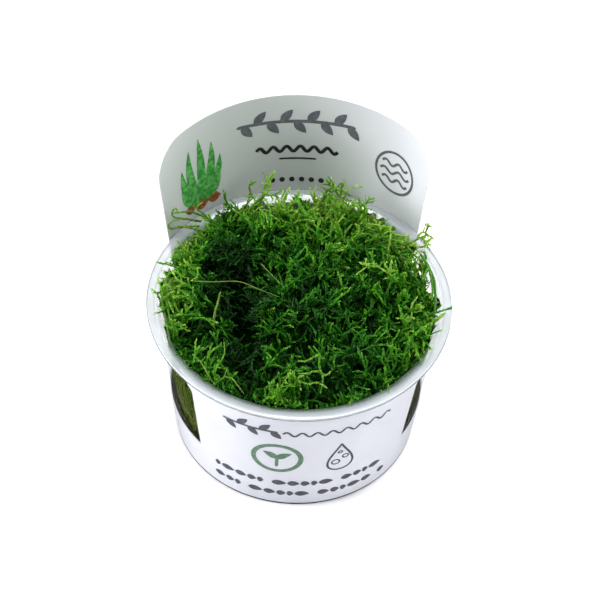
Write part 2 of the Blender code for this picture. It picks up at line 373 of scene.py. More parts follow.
@dataclass(frozen=True)
class MossLeaf:
    """Moist moss: thin green leaves that let light through, brighter towards the tips."""

    deep: str = "#0C3604"
    old: str = "#1D6008"
    grown: str = "#3E8A14"
    young: str = "#68A826"
    tip: str = "#9AC04A"
    stem: str = "#7E8748"
    mottle_mm: float = 1.6
    mottle_range: float = 0.36
    roughness: float = 0.5
    gloss: float = 0.28
    through: float = 0.3

    def make(self) -> bpy.types.Material:
        """Make the material. Attribute tone runs from the depths to the tips, with painted shade low down and
        in hollows; pale marks bare stems.

        Returns:
            The material.
        """
        material, tree, shader = new_material("moist_moss_leaf")
        tone = add_node(tree, "ShaderNodeAttribute", {"attribute_name": "tone"}).outputs["Fac"]
        pale = add_node(tree, "ShaderNodeAttribute", {"attribute_name": "pale"}).outputs["Fac"]
        mottle = add_node(tree, "ShaderNodeTexNoise", {"Scale": 1.0 / (self.mottle_mm * MM), "Detail": 2.0},
                          {"Vector": pattern_place(tree)})
        spread = add_node(tree, "ShaderNodeMath", {"operation": "MULTIPLY_ADD", 1: self.mottle_range,
                                                   2: -0.5 * self.mottle_range},
                          {0: mottle.outputs["Fac"]})
        mixed = add_node(tree, "ShaderNodeMath", {"operation": "ADD", "use_clamp": True},
                         {0: tone, 1: spread.outputs[0]})
        green = add_ramp(tree, mixed.outputs[0], [(0.0, self.deep), (0.3, self.old), (0.58, self.grown),
                                                  (0.82, self.young), (1.0, self.tip)])
        colour = add_node(tree, "ShaderNodeMix", {"data_type": "RGBA", 7: linear(self.stem)},
                          {0: pale, 6: green})
        tree.links.new(colour.outputs[2], shader.inputs["Base Color"])
        shader.inputs["Roughness"].default_value = self.roughness
        shader.inputs["Specular IOR Level"].default_value = self.gloss
        glow = add_node(tree, "ShaderNodeBsdfTranslucent", links={"Color": colour.outputs[2]})
        both = add_node(tree, "ShaderNodeMixShader", {0: self.through},
                        {1: shader.outputs[0], 2: glow.outputs[0]})
        output = tree.nodes["Material Output"]
        tree.links.new(both.outputs[0], output.inputs["Surface"])
        return material


@dataclass(frozen=True)
class MossDepthShade:
    """The matted old moss deep in the cup, rough: its own dark green and brown, painted nearly black for the
    shade down there.
    """

    # Nearly black colours: the old moss's own dark, deepened into painted shade
    dark: str = "#0A1C04"
    green: str = "#143808"
    brown: str = "#241C0A"
    mat_mm: float = 1.5
    mat_depth_mm: float = 0.8

    def make(self) -> bpy.types.Material:
        """Make the material: matted stems, dark partly of their own and partly with painted shade, drawn
        coarse enough to show.

        Returns:
            The material.
        """
        material, tree, shader = new_material("matted_moss_painted_shade")
        mat = add_node(tree, "ShaderNodeTexNoise", {"Scale": 1.0 / (self.mat_mm * MM), "Detail": 4.0},
                       {"Vector": pattern_place(tree)})
        colour = add_ramp(tree, mat.outputs["Fac"],
                          [(0.3, self.dark), (0.52, self.green), (0.75, self.brown)])
        tree.links.new(colour, shader.inputs["Base Color"])
        shader.inputs["Roughness"].default_value = 1.0
        shader.inputs["Specular IOR Level"].default_value = 0.0
        add_bump(tree, shader, mat.outputs["Fac"], self.mat_depth_mm)
        return material


@dataclass(frozen=True)
class StudioFloor:
    """Matte white laminate under the cup."""

    base: str = "#F7F7F8"
    shade: str = "#F3F3F4"
    mottle_mm: float = 60.0
    roughness: float = 0.6

    def make(self) -> bpy.types.Material:
        """Make the material: near white with a faint unevenness.

        Returns:
            The material.
        """
        material, tree, shader = new_material("matte_white_laminate")
        mottle = add_node(tree, "ShaderNodeTexNoise", {"Scale": 1.0 / (self.mottle_mm * MM)},
                          {"Vector": pattern_place(tree)})
        colour = add_ramp(tree, mottle.outputs["Fac"], [(0.3, self.shade), (0.7, self.base)])
        tree.links.new(colour, shader.inputs["Base Color"])
        shader.inputs["Roughness"].default_value = self.roughness
        return material


def smooth_step(value: float) -> float:
    """Ease from 0 to 1 as the value goes from 0 to 1."""
    value = min(max(value, 0.0), 1.0)
    return value * value * (3.0 - 2.0 * value)


def fast_mesh(name: str, points: np.ndarray, faces: np.ndarray) -> bpy.types.Mesh:
    """Make a smooth-shaded mesh from arrays.

    Args:
        name: The mesh's name.
        points: One row of x, y and z for each vertex, in metres.
        faces: One row of three or four vertex numbers for each face.

    Returns:
        The new mesh.
    """
    mesh = bpy.data.meshes.new(name)
    count, sides = faces.shape
    mesh.vertices.add(len(points))
    mesh.vertices.foreach_set("co", points.astype(np.float32).ravel())
    mesh.loops.add(count * sides)
    mesh.loops.foreach_set("vertex_index", faces.astype(np.int32).ravel())
    mesh.polygons.add(count)
    mesh.polygons.foreach_set("loop_start", np.arange(0, count * sides, sides, dtype=np.int32))
    mesh.polygons.foreach_set("use_smooth", np.ones(count, dtype=bool))
    mesh.update(calc_edges=True)
    return mesh


def add_piece(mesh: bpy.types.Mesh, materials: Iterable[bpy.types.Material],
              replaced: Iterable[str] = ()) -> bpy.types.Object:
    """Link a mesh as a piece of the model that rides on its only body.

    Args:
        mesh: The piece's mesh, whose name the piece takes.
        materials: Its materials, in the order of the mesh's slots.
        replaced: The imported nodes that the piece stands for.

    Returns:
        The new object.
    """
    for material in materials:
        mesh.materials.append(material)
    piece = bpy.data.objects.new(mesh.name, mesh)
    bpy.context.scene.collection.objects.link(piece)
    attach(piece, "root")
    for node in replaced:
        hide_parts(node)
    LOG.info("%s: %d faces", piece.name, len(mesh.polygons))
    return piece


@dataclass
class Cup:
    """The turned clear cup: a tapering wall, a curved lip inside the rim and a flat flange."""

    flange_radius: float = 45.0 * MM
    flange_height: float = 50.2 * MM
    flange_thickness: float = 1.2 * MM
    lip_outer: float = 42.9 * MM
    lip_inner: float = 40.4 * MM
    lip_drop: float = 1.15 * MM
    lip_bow: float = 0.5
    lip_steps: int = 5
    seat_inner: float = 40.3 * MM
    seat_depth: float = 1.4 * MM
    wall_top: float = 42.15 * MM
    taper: float = 0.1245
    wall: float = 1.0 * MM
    neck: float = 46.2 * MM
    floor: float = 1.1 * MM
    foot: float = 0.6 * MM
    bead: float = 0.75 * MM
    edge: float = 0.3 * MM
    steps: int = 240
    round_steps: int = 4

    @property
    def rim_top(self) -> float:
        """Height of the flange's top face."""
        return self.flange_height + self.flange_thickness

    def outer_radius(self, height: float) -> float:
        """Radius of the outer wall at a height."""
        return self.wall_top - self.taper * (self.flange_height - height)

    def inner_radius(self, height: float) -> float:
        """Work out the radius of the inner wall, up to the lip.

        Args:
            height: The height above the base, in metres.

        Returns:
            The radius there, in metres.
        """
        seat = self.rim_top - self.seat_depth
        return min(self.outer_radius(height) - self.wall,
                   self.seat_inner - 0.5 * self.taper * max(0.0, seat - height))

    def corner(self, before: Point, at: Point, after: Point) -> list[Point]:
        """Round one corner of the half section.

        Args:
            before: The outline's point before the corner.
            at: The corner itself.
            after: The outline's point after it.

        Returns:
            Points along a small curve that replaces the corner.
        """
        spot = np.array(at)
        ends = []
        for other in (before, after):
            step = np.array(other) - spot
            length = float(np.linalg.norm(step))
            ends.append(spot + step * min(self.edge, 0.45 * length) / length)
        curve = []
        for index in range(self.round_steps + 1):
            share = index / self.round_steps
            bent = (1 - share) ** 2 * ends[0] + 2 * share * (1 - share) * spot + share ** 2 * ends[1]
            curve.append((float(bent[0]), float(bent[1])))
        return curve

    def lip(self) -> list[Point]:
        """Bow the lip that rises from the inner wall to the flange's top.

        Returns:
            Its points, as radius and height, from the wall outwards.
        """
        points = []
        for index in range(self.lip_steps + 1):
            share = index / self.lip_steps
            rise = share + self.lip_bow * share * (1.0 - share)
            radius = self.lip_inner + (self.lip_outer - self.lip_inner) * share
            points.append((radius, self.rim_top - self.lip_drop * (1.0 - rise)))
        return points

    def outline(self) -> tuple[list[Point], list[int]]:
        """Draw the half section, from the middle of the floor round to the middle of the base.

        Returns:
            Its points, as radius and height, and for each stretch between them the number of its finish.
        """
        seat = self.rim_top - self.seat_depth
        middle = 0.6 * seat
        foot_radius = self.outer_radius(0.0) + self.bead
        # Finish 2 paints shade: the round under the flange's rim and the foot bead, which give the dark lines
        clear, milky, edge = 0, 1, 2
        # Each corner: radius, height, the finish of its round and the finish of the stretch after it
        sharp = [(0.0, self.floor, clear, clear),
                 (self.inner_radius(self.floor), self.floor, clear, clear),
                 (self.inner_radius(middle), middle, clear, clear),
                 (self.inner_radius(self.neck), self.neck, clear, milky),
                 (self.seat_inner, seat - self.edge, milky, milky)]
        sharp += [(radius, height, milky, milky) for radius, height in self.lip()]
        sharp += [(self.flange_radius, self.rim_top, milky, milky),
                  (self.flange_radius, self.flange_height, edge, milky),
                  (self.wall_top, self.flange_height, clear, clear),
                  (self.outer_radius(self.foot), self.foot, edge, clear),
                  (foot_radius, self.foot, edge, edge),
                  (foot_radius, 0.0, edge, edge),
                  (0.0, 0.0, clear, clear)]
        points = [sharp[0][:2]]
        kinds = []
        for index in range(1, len(sharp) - 1):
            points += self.corner(sharp[index - 1][:2], sharp[index][:2], sharp[index + 1][:2])
            kinds += [sharp[index - 1][3]] + [sharp[index][2]] * self.round_steps
        points.append(sharp[-1][:2])
        kinds.append(clear)
        return points, kinds

    def build(self) -> bpy.types.Object:
        """Turn the half section and dress it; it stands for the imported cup.

        Returns:
            The cup's object.
        """
        points, kinds = self.outline()
        section = np.array(points)[::-1]
        kinds = kinds[::-1]
        angles = np.linspace(0.0, 2.0 * math.pi, self.steps, endpoint=False)
        rings = [np.array([[0.0, 0.0, section[0, 1]]])]
        for radius, height in section[1:-1]:
            rings.append(np.stack([radius * np.cos(angles), radius * np.sin(angles),
                                   np.full(self.steps, height)], axis=1))
        rings.append(np.array([[0.0, 0.0, section[-1, 1]]]))
        shape = bmesh.new()
        verts = [[shape.verts.new(point) for point in ring] for ring in rings]
        for row, (low, high) in enumerate(zip(verts, verts[1:])):
            for index in range(self.steps):
                following = (index + 1) % self.steps
                corners = [low[index % len(low)], low[following % len(low)],
                           high[following % len(high)], high[index % len(high)]]
                unique = list(dict.fromkeys(corners))
                face = shape.faces.new(unique)
                face.smooth = True
                face.material_index = kinds[row]
        bmesh.ops.recalc_face_normals(shape, faces=shape.faces)
        mesh = bpy.data.meshes.new("cup_shell")
        shape.to_mesh(mesh)
        shape.free()
        finishes = [ClearPolypropylene().make(), MilkyPolypropylene().make(), EdgePaintedShade().make()]
        return add_piece(mesh, finishes, ["cup"])


@dataclass
class Card:
    """The wrap-round card: a band at the foot, a front panel and a tall back panel."""

    cup: Cup
    thickness: float = 0.4 * MM
    gap: float = 0.33 * MM
    foot: float = 0.9 * MM
    turn: float = math.radians(-5.7)
    band_top: float = 14.9 * MM
    front_top: float = 49.5 * MM
    front_half: float = math.radians(51.0)
    front_corner: float = 0.6 * MM
    ear: float = math.radians(7.0)
    ear_start: float = 42.6 * MM
    ear_end: float = 49.5 * MM
    back_peak: float = 84.15 * MM
    back_arch: float = 4.3 * MM
    back_half_top: float = math.radians(53.5)
    back_half_foot: float = math.radians(59.0)
    corner_angle: float = math.radians(14.0)
    corner_drop: float = 9.0 * MM
    lean: float = 0.0845
    bend: float = 2.0 * MM
    band_rows: int = 6
    panel_rows: int = 34
    front_columns: int = 90
    back_columns: int = 120
    gap_columns: int = 40

    def band_radius(self, height: float) -> float:
        """Radius of the card's middle where it lies against the cup."""
        return self.cup.outer_radius(height) + self.gap + 0.5 * self.thickness

    def back_radius(self, height: float) -> float:
        """Radius of the middle of the back panel, which leans out past the flange."""
        rise = max(0.0, height - self.band_top)
        return self.band_radius(height) + self.lean * rise * rise / (rise + self.bend)

    def back_edge(self, share: float) -> float:
        """Follow the back panel's top edge: a low arch with round corners.

        Args:
            share: The place across the panel, from -1 to 1.

        Returns:
            The edge's height there, in metres.
        """
        angle = abs(share) * self.back_half_top
        height = self.back_peak - self.back_arch * share * share
        past = (angle - (self.back_half_top - self.corner_angle)) / self.corner_angle
        if past > 0.0:
            height -= self.corner_drop * (1.0 - math.sqrt(max(0.0, 1.0 - past * past)))
        return height

    def back_half(self, height: float) -> float:
        """Half angle of the back panel at a height."""
        share = (height - self.band_top) / (self.back_edge(1.0) - self.band_top)
        return self.back_half_foot + (self.back_half_top - self.back_half_foot) * min(share, 1.0)

    def front_edge(self, share: float) -> float:
        """Follow the front panel's top edge, just under the flange.

        Args:
            share: The place across the panel, from -1 to 1.

        Returns:
            The edge's height there, in metres.
        """
        reach = self.front_half * self.cup.wall_top
        past = (abs(share) * reach - (reach - self.front_corner)) / self.front_corner
        if past <= 0.0:
            return self.front_top
        return self.front_top - self.front_corner * (1.0 - math.sqrt(max(0.0, 1.0 - past * past)))

    def front_half_at(self, height: float) -> float:
        """Half angle of the front panel, with small ears at its top corners."""
        share = (height - self.ear_start) / (self.ear_end - self.ear_start)
        return self.front_half + self.ear * min(max(share, 0.0), 1.0)

    def point(self, angle: float, height: float, radius: float) -> tuple[float, float, float]:
        """Point on the card; angle 0 is the middle of the back panel."""
        turned = angle + self.turn
        return (radius * math.sin(turned), radius * math.cos(turned), height)

    def columns(self) -> Iterable[tuple[str, float, float]]:
        """Go once round the card, column by column.

        Returns:
            For each column its kind, its place across its panel from -1 to 1, and its angle at the band.
        """

        def shares(count: int) -> list[float]:
            """Spread columns over a panel, closer together towards its edges."""
            return [math.sin(math.pi * (index / count - 0.5)) for index in range(count + 1)]

        start, end = self.back_half_foot, math.pi - self.front_half
        for share in shares(self.back_columns):
            yield "back", share, share * start
        for index in range(1, self.gap_columns):
            yield "gap", 0.0, start + (end - start) * index / self.gap_columns
        for share in shares(self.front_columns):
            yield "front", share, math.pi + share * self.front_half
        for index in range(1, self.gap_columns):
            yield "gap", 0.0, -end + (end - start) * index / self.gap_columns

    def panel_point(self, kind: str, share: float, row: float) -> tuple[float, float, float]:
        """Find a point on a panel.

        Args:
            kind: The panel, back or front.
            share: The place across the panel, from -1 to 1.
            row: The place up the panel, from 0 at the band to 1 at its top edge.

        Returns:
            The point, in metres.
        """
        if kind == "back":
            height = self.band_top + row * (self.back_edge(share) - self.band_top)
            return self.point(share * self.back_half(height), height, self.back_radius(height))
        height = self.band_top + row * (self.front_edge(share) - self.band_top)
        return self.point(math.pi + share * self.front_half_at(height), height, self.band_radius(height))

    def build(self) -> bpy.types.Object:
        """Make the sheet, thicken it and dress it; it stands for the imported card.

        Returns:
            The card's object.
        """
        sheet = bmesh.new()
        made = []
        for kind, share, angle in self.columns():
            column = []
            for row in range(self.band_rows + 1):
                height = self.foot + (self.band_top - self.foot) * row / self.band_rows
                column.append(sheet.verts.new(self.point(angle, height, self.band_radius(height))))
            if kind != "gap":
                for row in range(1, self.panel_rows + 1):
                    column.append(sheet.verts.new(self.panel_point(kind, share, row / self.panel_rows)))
            made.append(column)
        for index, column in enumerate(made):
            following = made[(index + 1) % len(made)]
            for row in range(min(len(column), len(following)) - 1):
                sheet.faces.new((column[row], column[row + 1], following[row + 1], following[row]))
        sheet.normal_update()
        rough = bpy.data.meshes.new("card_sheet")
        sheet.to_mesh(rough)
        sheet.free()
        guide = bpy.data.objects.new("card_sheet", rough)
        bpy.context.scene.collection.objects.link(guide)
        solid = guide.modifiers.new("thickness", "SOLIDIFY")
        solid.thickness = self.thickness
        solid.offset = 0.0
        solid.use_even_offset = True
        mesh = bpy.data.meshes.new_from_object(guide.evaluated_get(bpy.context.evaluated_depsgraph_get()))
        bpy.data.objects.remove(guide)
        mesh.name = "wrap_card"
        mesh.shade_smooth()
        mesh.set_sharp_from_angle(angle=math.radians(50.0))
        return add_piece(mesh, [CoatedCard().make()], ["label_card"])


@dataclass
class Print:
    """Flat print on the card: strokes of ink laid along its two panels."""

    card: Card
    film: float = 0.05 * MM
    cell: float = 0.9 * MM
    strokes: dict = field(default_factory=dict)

    def back(self, along: float, height: float) -> tuple[float, float, float]:
        """Find a point on the inner face of the back panel.

        Args:
            along: Millimetres along the panel from its middle.
            height: Millimetres above the base.

        Returns:
            The point, in metres.
        """
        level = height * MM
        radius = self.card.back_radius(level)
        inside = radius - 0.5 * self.card.thickness - self.film
        return self.card.point(along * MM / radius, level, inside)

    def front(self, along: float, height: float) -> tuple[float, float, float]:
        """Find a point on the outer face of the front panel.

        Args:
            along: Millimetres along the panel from its middle.
            height: Millimetres above the base.

        Returns:
            The point, in metres.
        """
        level = height * MM
        radius = self.card.band_radius(level)
        outside = radius + 0.5 * self.card.thickness + self.film
        return self.card.point(math.pi - along * MM / radius, level, outside)

    def stroke(self, ink: Ink, flat: Flat, line: Iterable[Point], widths: Iterable[float]) -> None:
        """Lay one stroke of ink.

        Args:
            ink: The ink to print with.
            flat: Maps millimetres along and up the panel to a point in space.
            line: The stroke's middle line, in millimetres along and up.
            widths: Its width at each point of the line, in millimetres.
        """
        line, widths = np.array(list(line), float), np.array(list(widths), float)
        slope = np.gradient(line, axis=0)
        slope /= np.linalg.norm(slope, axis=1, keepdims=True) + 1e-9
        across = np.stack([-slope[:, 1], slope[:, 0]], axis=1)
        cells = max(1, int(math.ceil(widths.max() * MM / self.cell)))
        points, faces = self.strokes.setdefault(ink, ([], []))
        start = len(points)
        for spot, side, width in zip(line, across, widths):
            for cell in range(cells + 1):
                place = spot + side * width * (cell / cells - 0.5)
                points.append(flat(place[0], place[1]))
        for row in range(len(line) - 1):
            for cell in range(cells):
                first = start + row * (cells + 1) + cell
                faces.append((first, first + 1, first + cells + 2, first + cells + 1))

    def bar(self, ink: Ink, flat: Flat, start: Point, end: Point, width: float) -> None:
        """Print a straight bar with round ends.

        Args:
            ink: The ink to print with.
            flat: Maps the panel's millimetres to a point in space.
            start: One end.
            end: The other end.
            width: The bar's width in millimetres.
        """
        shares = np.concatenate([np.linspace(0.0, 0.08, 5), np.linspace(0.12, 0.88, 12),
                                 np.linspace(0.92, 1.0, 5)])
        line = [(start[0] + (end[0] - start[0]) * share, start[1] + (end[1] - start[1]) * share)
                for share in shares]
        length = math.dist(start, end)
        widths = []
        for share in shares:
            from_end = min(share, 1.0 - share) * length / (0.5 * width)
            widths.append(width * math.sqrt(max(0.02, 1.0 - max(0.0, 1.0 - from_end) ** 2)))
        self.stroke(ink, flat, line, widths)

    def leaf(self, ink: Ink, flat: Flat, root: Point, angle: float, length: float, width: float,
             bow: float = 0.0) -> None:
        """Print a pointed leaf.

        Args:
            ink: The ink to print with.
            flat: Maps the panel's millimetres to a point in space.
            root: Where the leaf starts.
            angle: Its direction in degrees from the horizontal.
            length: Its length in millimetres.
            width: Its greatest width in millimetres.
            bow: How far its middle bows sideways, as a share of its length.
        """
        way = np.array([math.cos(math.radians(angle)), math.sin(math.radians(angle))])
        side = np.array([-way[1], way[0]])
        shares = np.linspace(0.0, 1.0, 15)
        line = [np.array(root) + way * length * share + side * bow * length * math.sin(math.pi * share)
                for share in shares]
        widths = [max(0.04, width * math.sin(math.pi * share ** 0.8) ** 0.8) for share in shares]
        self.stroke(ink, flat, line, widths)

    def ring(self, ink: Ink, flat: Flat, centre: Point, radius: float, width: float) -> None:
        """Print a ring.

        Args:
            ink: The ink to print with.
            flat: Maps the panel's millimetres to a point in space.
            centre: The ring's middle.
            radius: Its radius in millimetres.
            width: The line's width in millimetres.
        """
        turns = np.linspace(0.0, 2.0 * math.pi, 61)
        line = [(centre[0] + radius * math.cos(turn), centre[1] + radius * math.sin(turn)) for turn in turns]
        line[-1] = line[0]
        self.stroke(ink, flat, line, [width] * len(line))

    def wave(self, ink: Ink, flat: Flat, start: Point, length: float, rise: float, turns: float,
             width: float) -> None:
        """Print a level wavy line.

        Args:
            ink: The ink to print with.
            flat: Maps the panel's millimetres to a point in space.
            start: The line's left end.
            length: Its length in millimetres.
            rise: How far it rises and falls, in millimetres.
            turns: How many waves it has.
            width: Its width in millimetres.
        """
        shares = np.linspace(0.0, 1.0, int(12 * turns) + 2)
        line = [(start[0] + length * share, start[1] + rise * math.sin(2.0 * math.pi * turns * share))
                for share in shares]
        self.stroke(ink, flat, line, [width] * len(line))

    def garland(self, ink: Ink, flat: Flat, start: Point, length: float, leaves: int, size: float) -> None:
        """Print a level stem with leaves in turn above and below it.

        Args:
            ink: The ink to print with.
            flat: Maps the panel's millimetres to a point in space.
            start: The stem's left end.
            length: Its length in millimetres.
            leaves: How many leaves it has.
            size: A leaf's length in millimetres.
        """
        self.bar(ink, flat, start, (start[0] + length, start[1]), 0.2 * size)
        for index in range(leaves):
            root = (start[0] + length * (index + 0.4) / leaves, start[1])
            self.leaf(ink, flat, root, 48.0 if index % 2 else -48.0, size, 0.52 * size)

    def print_back(self) -> None:
        """Print the back panel: a garland, two rules, a row of rings, a water plant and a round sign."""
        self.garland(Ink.CHARCOAL, self.back, (-17.0, 75.2), 37.0, 9, 5.4)
        self.wave(Ink.BLACK, self.back, (-10.5, 65.6), 25.0, 0.9, 6.0, 1.1)
        self.bar(Ink.BLACK, self.back, (-3.5, 62.2), (8.0, 62.2), 0.6)
        for index in range(6):
            spot = (-5.4 + 3.0 * index, 54.7)
            self.ring(Ink.BLACK, self.back, spot, 0.45, 0.8)
        self.water_plant((-29.5, 55.5))
        self.round_sign((33.6, 65.2), 6.6)

    def water_plant(self, root: Point) -> None:
        """Print a fan of strap leaves that stands on three pebbles.

        Args:
            root: Where the leaves meet.
        """
        fan = ((118.0, 15.5, 0.14), (103.0, 19.5, 0.08), (92.0, 21.5, -0.03), (78.0, 19.0, -0.09),
               (62.0, 15.0, -0.14), (135.0, 10.5, 0.18), (45.0, 10.0, -0.18))
        for angle, length, bow in fan:
            self.leaf(Ink.LEAF, self.back, root, angle, length, 3.1, bow)
        for shift, size in ((-4.2, 2.2), (0.2, 2.9), (4.8, 2.4)):
            shares = np.linspace(0, 1, 13)
            pebble = [(root[0] + shift + size * (share - 0.5) * 2.0, root[1] - 0.9) for share in shares]
            widths = [max(0.05, 1.5 * size * math.sin(math.pi * share)) for share in shares]
            self.stroke(Ink.BARK, self.back, pebble, widths)

    def round_sign(self, centre: Point, radius: float) -> None:
        """Print a ring with three waves in it.

        Args:
            centre: The ring's middle.
            radius: Its radius in millimetres.
        """
        self.ring(Ink.CHARCOAL, self.back, centre, radius, 0.8)
        for index in (-1, 0, 1):
            half = 0.68 * radius if index else 0.78 * radius
            start = (centre[0] - half, centre[1] + 2.7 * index)
            self.wave(Ink.CHARCOAL, self.back, start, 2.0 * half, 0.75, 2.0, 0.8)

    def print_front(self) -> None:
        """Print the front panel: a garland and a wavy rule, two signs and two rows of dashes."""
        self.garland(Ink.CHARCOAL, self.front, (-25.5, 40.6), 17.0, 5, 4.6)
        self.wave(Ink.CHARCOAL, self.front, (-7.0, 40.0), 33.0, 0.95, 7.5, 0.75)
        self.sprout_sign((-8.4, 26.2))
        self.drop_sign((10.4, 26.4))
        for height, shift in ((12.2, 0), (6.4, 2)):
            spot, index = -28.0, shift
            while spot < 25.0:
                length = 2.0 + 0.8 * ((index * 7) % 4)
                self.leaf(Ink.CHARCOAL, self.front, (spot, height), 0.0, length, 2.7, 0.05)
                spot += length + (2.4 if index % 5 == 4 else 0.3)
                index += 1

    def sprout_sign(self, centre: Point) -> None:
        """Print a ring round a sprout with two leaves.

        Args:
            centre: The ring's middle.
        """
        x, y = centre
        self.ring(Ink.SAGE, self.front, centre, 7.0, 1.5)
        self.bar(Ink.SAGE, self.front, (x, y - 4.6), (x, y + 1.6), 1.0)
        self.leaf(Ink.SAGE, self.front, (x, y - 0.4), 38.0, 5.4, 2.6, 0.1)
        self.leaf(Ink.SAGE, self.front, (x, y - 0.4), 142.0, 5.4, 2.6, -0.1)

    def drop_sign(self, centre: Point) -> None:
        """Print the outline of a drop with three bubbles.

        Args:
            centre: The drop's middle.
        """
        x, y = centre
        turns = np.linspace(0.0, 2.0 * math.pi, 49)
        line = []
        for turn in turns:
            pinch = math.sin(0.5 * turn) ** 1.6
            line.append((x + 5.6 * math.sin(turn) * pinch, y - 1.0 + 7.2 * math.cos(turn)))
        self.stroke(Ink.CHARCOAL, self.front, line, [0.7] * len(line))
        for shift, lift, size in ((-1.4, -3.6, 1.2), (1.5, -1.2, 0.9), (-0.2, 1.6, 0.6)):
            self.ring(Ink.CHARCOAL, self.front, (x + shift, y + lift), size, 0.5)

    def build(self) -> list[bpy.types.Object]:
        """Lay the print of both panels, one piece for each ink.

        Returns:
            The print's objects.
        """
        self.print_back()
        self.print_front()
        pieces = []
        for ink, (points, faces) in self.strokes.items():
            mesh = fast_mesh(f"print_{ink.value[0]}", np.array(points), np.array(faces))
            pieces.append(add_piece(mesh, [ink.make()]))
        return pieces


@dataclass
class ShootBatch:
    """Many shoots with the same number of nodes, grown side by side."""

    start: np.ndarray
    heading: np.ndarray
    side: np.ndarray
    length: np.ndarray
    nodes: int
    points: np.ndarray = field(init=False)
    ahead: np.ndarray = field(init=False)
    across: np.ndarray = field(init=False)

    def grow(self, rng: np.random.Generator, curl: np.ndarray, bend: np.ndarray, waver: float,
             fence: Callable[[np.ndarray], np.ndarray]) -> None:
        """Grow the middle lines.

        Args:
            rng: The seeded source of chance.
            curl: Turning in radians a metre.
            bend: The way towards which each shoot turns.
            waver: Random turning in radians a metre.
            fence: Gives the turning that keeps shoots off the cup and the card.
        """
        count = len(self.start)
        spot, ahead, across = self.start.copy(), self.heading.copy(), self.side.copy()
        kept, fresh = 0.92, 0.39
        drift = rng.normal(0.0, 1.0, (count, 3))
        step = (self.length / (self.nodes - 1))[:, None]
        spots, aheads, acrosses = [spot], [ahead], [across]
        for _ in range(self.nodes - 1):
            drift = kept * drift + fresh * rng.normal(0.0, 1.0, (count, 3))
            turn = curl[:, None] * bend + waver * drift + fence(spot)
            ahead = unit(ahead + turn * step)
            bend = unit(bend - ahead * (bend * ahead).sum(axis=1, keepdims=True))
            across = unit(across - ahead * (across * ahead).sum(axis=1, keepdims=True))
            spot = spot + ahead * step
            spots.append(spot)
            aheads.append(ahead)
            acrosses.append(across)
        self.points = np.stack(spots, axis=1)
        self.ahead = np.stack(aheads, axis=1)
        self.across = np.stack(acrosses, axis=1)


def unit(vectors: np.ndarray) -> np.ndarray:
    """Scale each vector to length 1."""
    return vectors / (np.linalg.norm(vectors, axis=-1, keepdims=True) + 1e-12)


def any_side(heading: np.ndarray, rng: np.random.Generator) -> np.ndarray:
    """Return a unit vector square to each heading, turned by chance."""
    return unit(np.cross(heading, rng.normal(0.0, 1.0, heading.shape)))


@dataclass
class LeafSizes:
    """Sizes of a moss leaf and stem, and how the leaves sit on the stem."""

    length: float = 1.2 * MM
    width_share: float = 0.5
    spread: float = math.radians(20.0)
    boat: float = 0.06
    spiral: float = math.radians(137.5)
    spacing: float = 0.36 * MM
    belly: float = 0.42
    taper_least: float = 0.55
    taper_swell: float = 0.5
    taper_from: float = 0.1
    taper_run: float = 0.62
    spread_foot: float = 1.15
    spread_closing: float = 0.5
    spread_chance: float = 0.22
    length_chance: float = 0.14
    lift: tuple = (-0.06, 0.02, 0.1, 0.02)
    stem_radius: float = 0.36 * MM
    stem_lumps: float = 0.14
    stem_tip: float = 0.5
    stem_sides: int = 3
    stem_shade: float = 0.04
    ring_every: int = 2


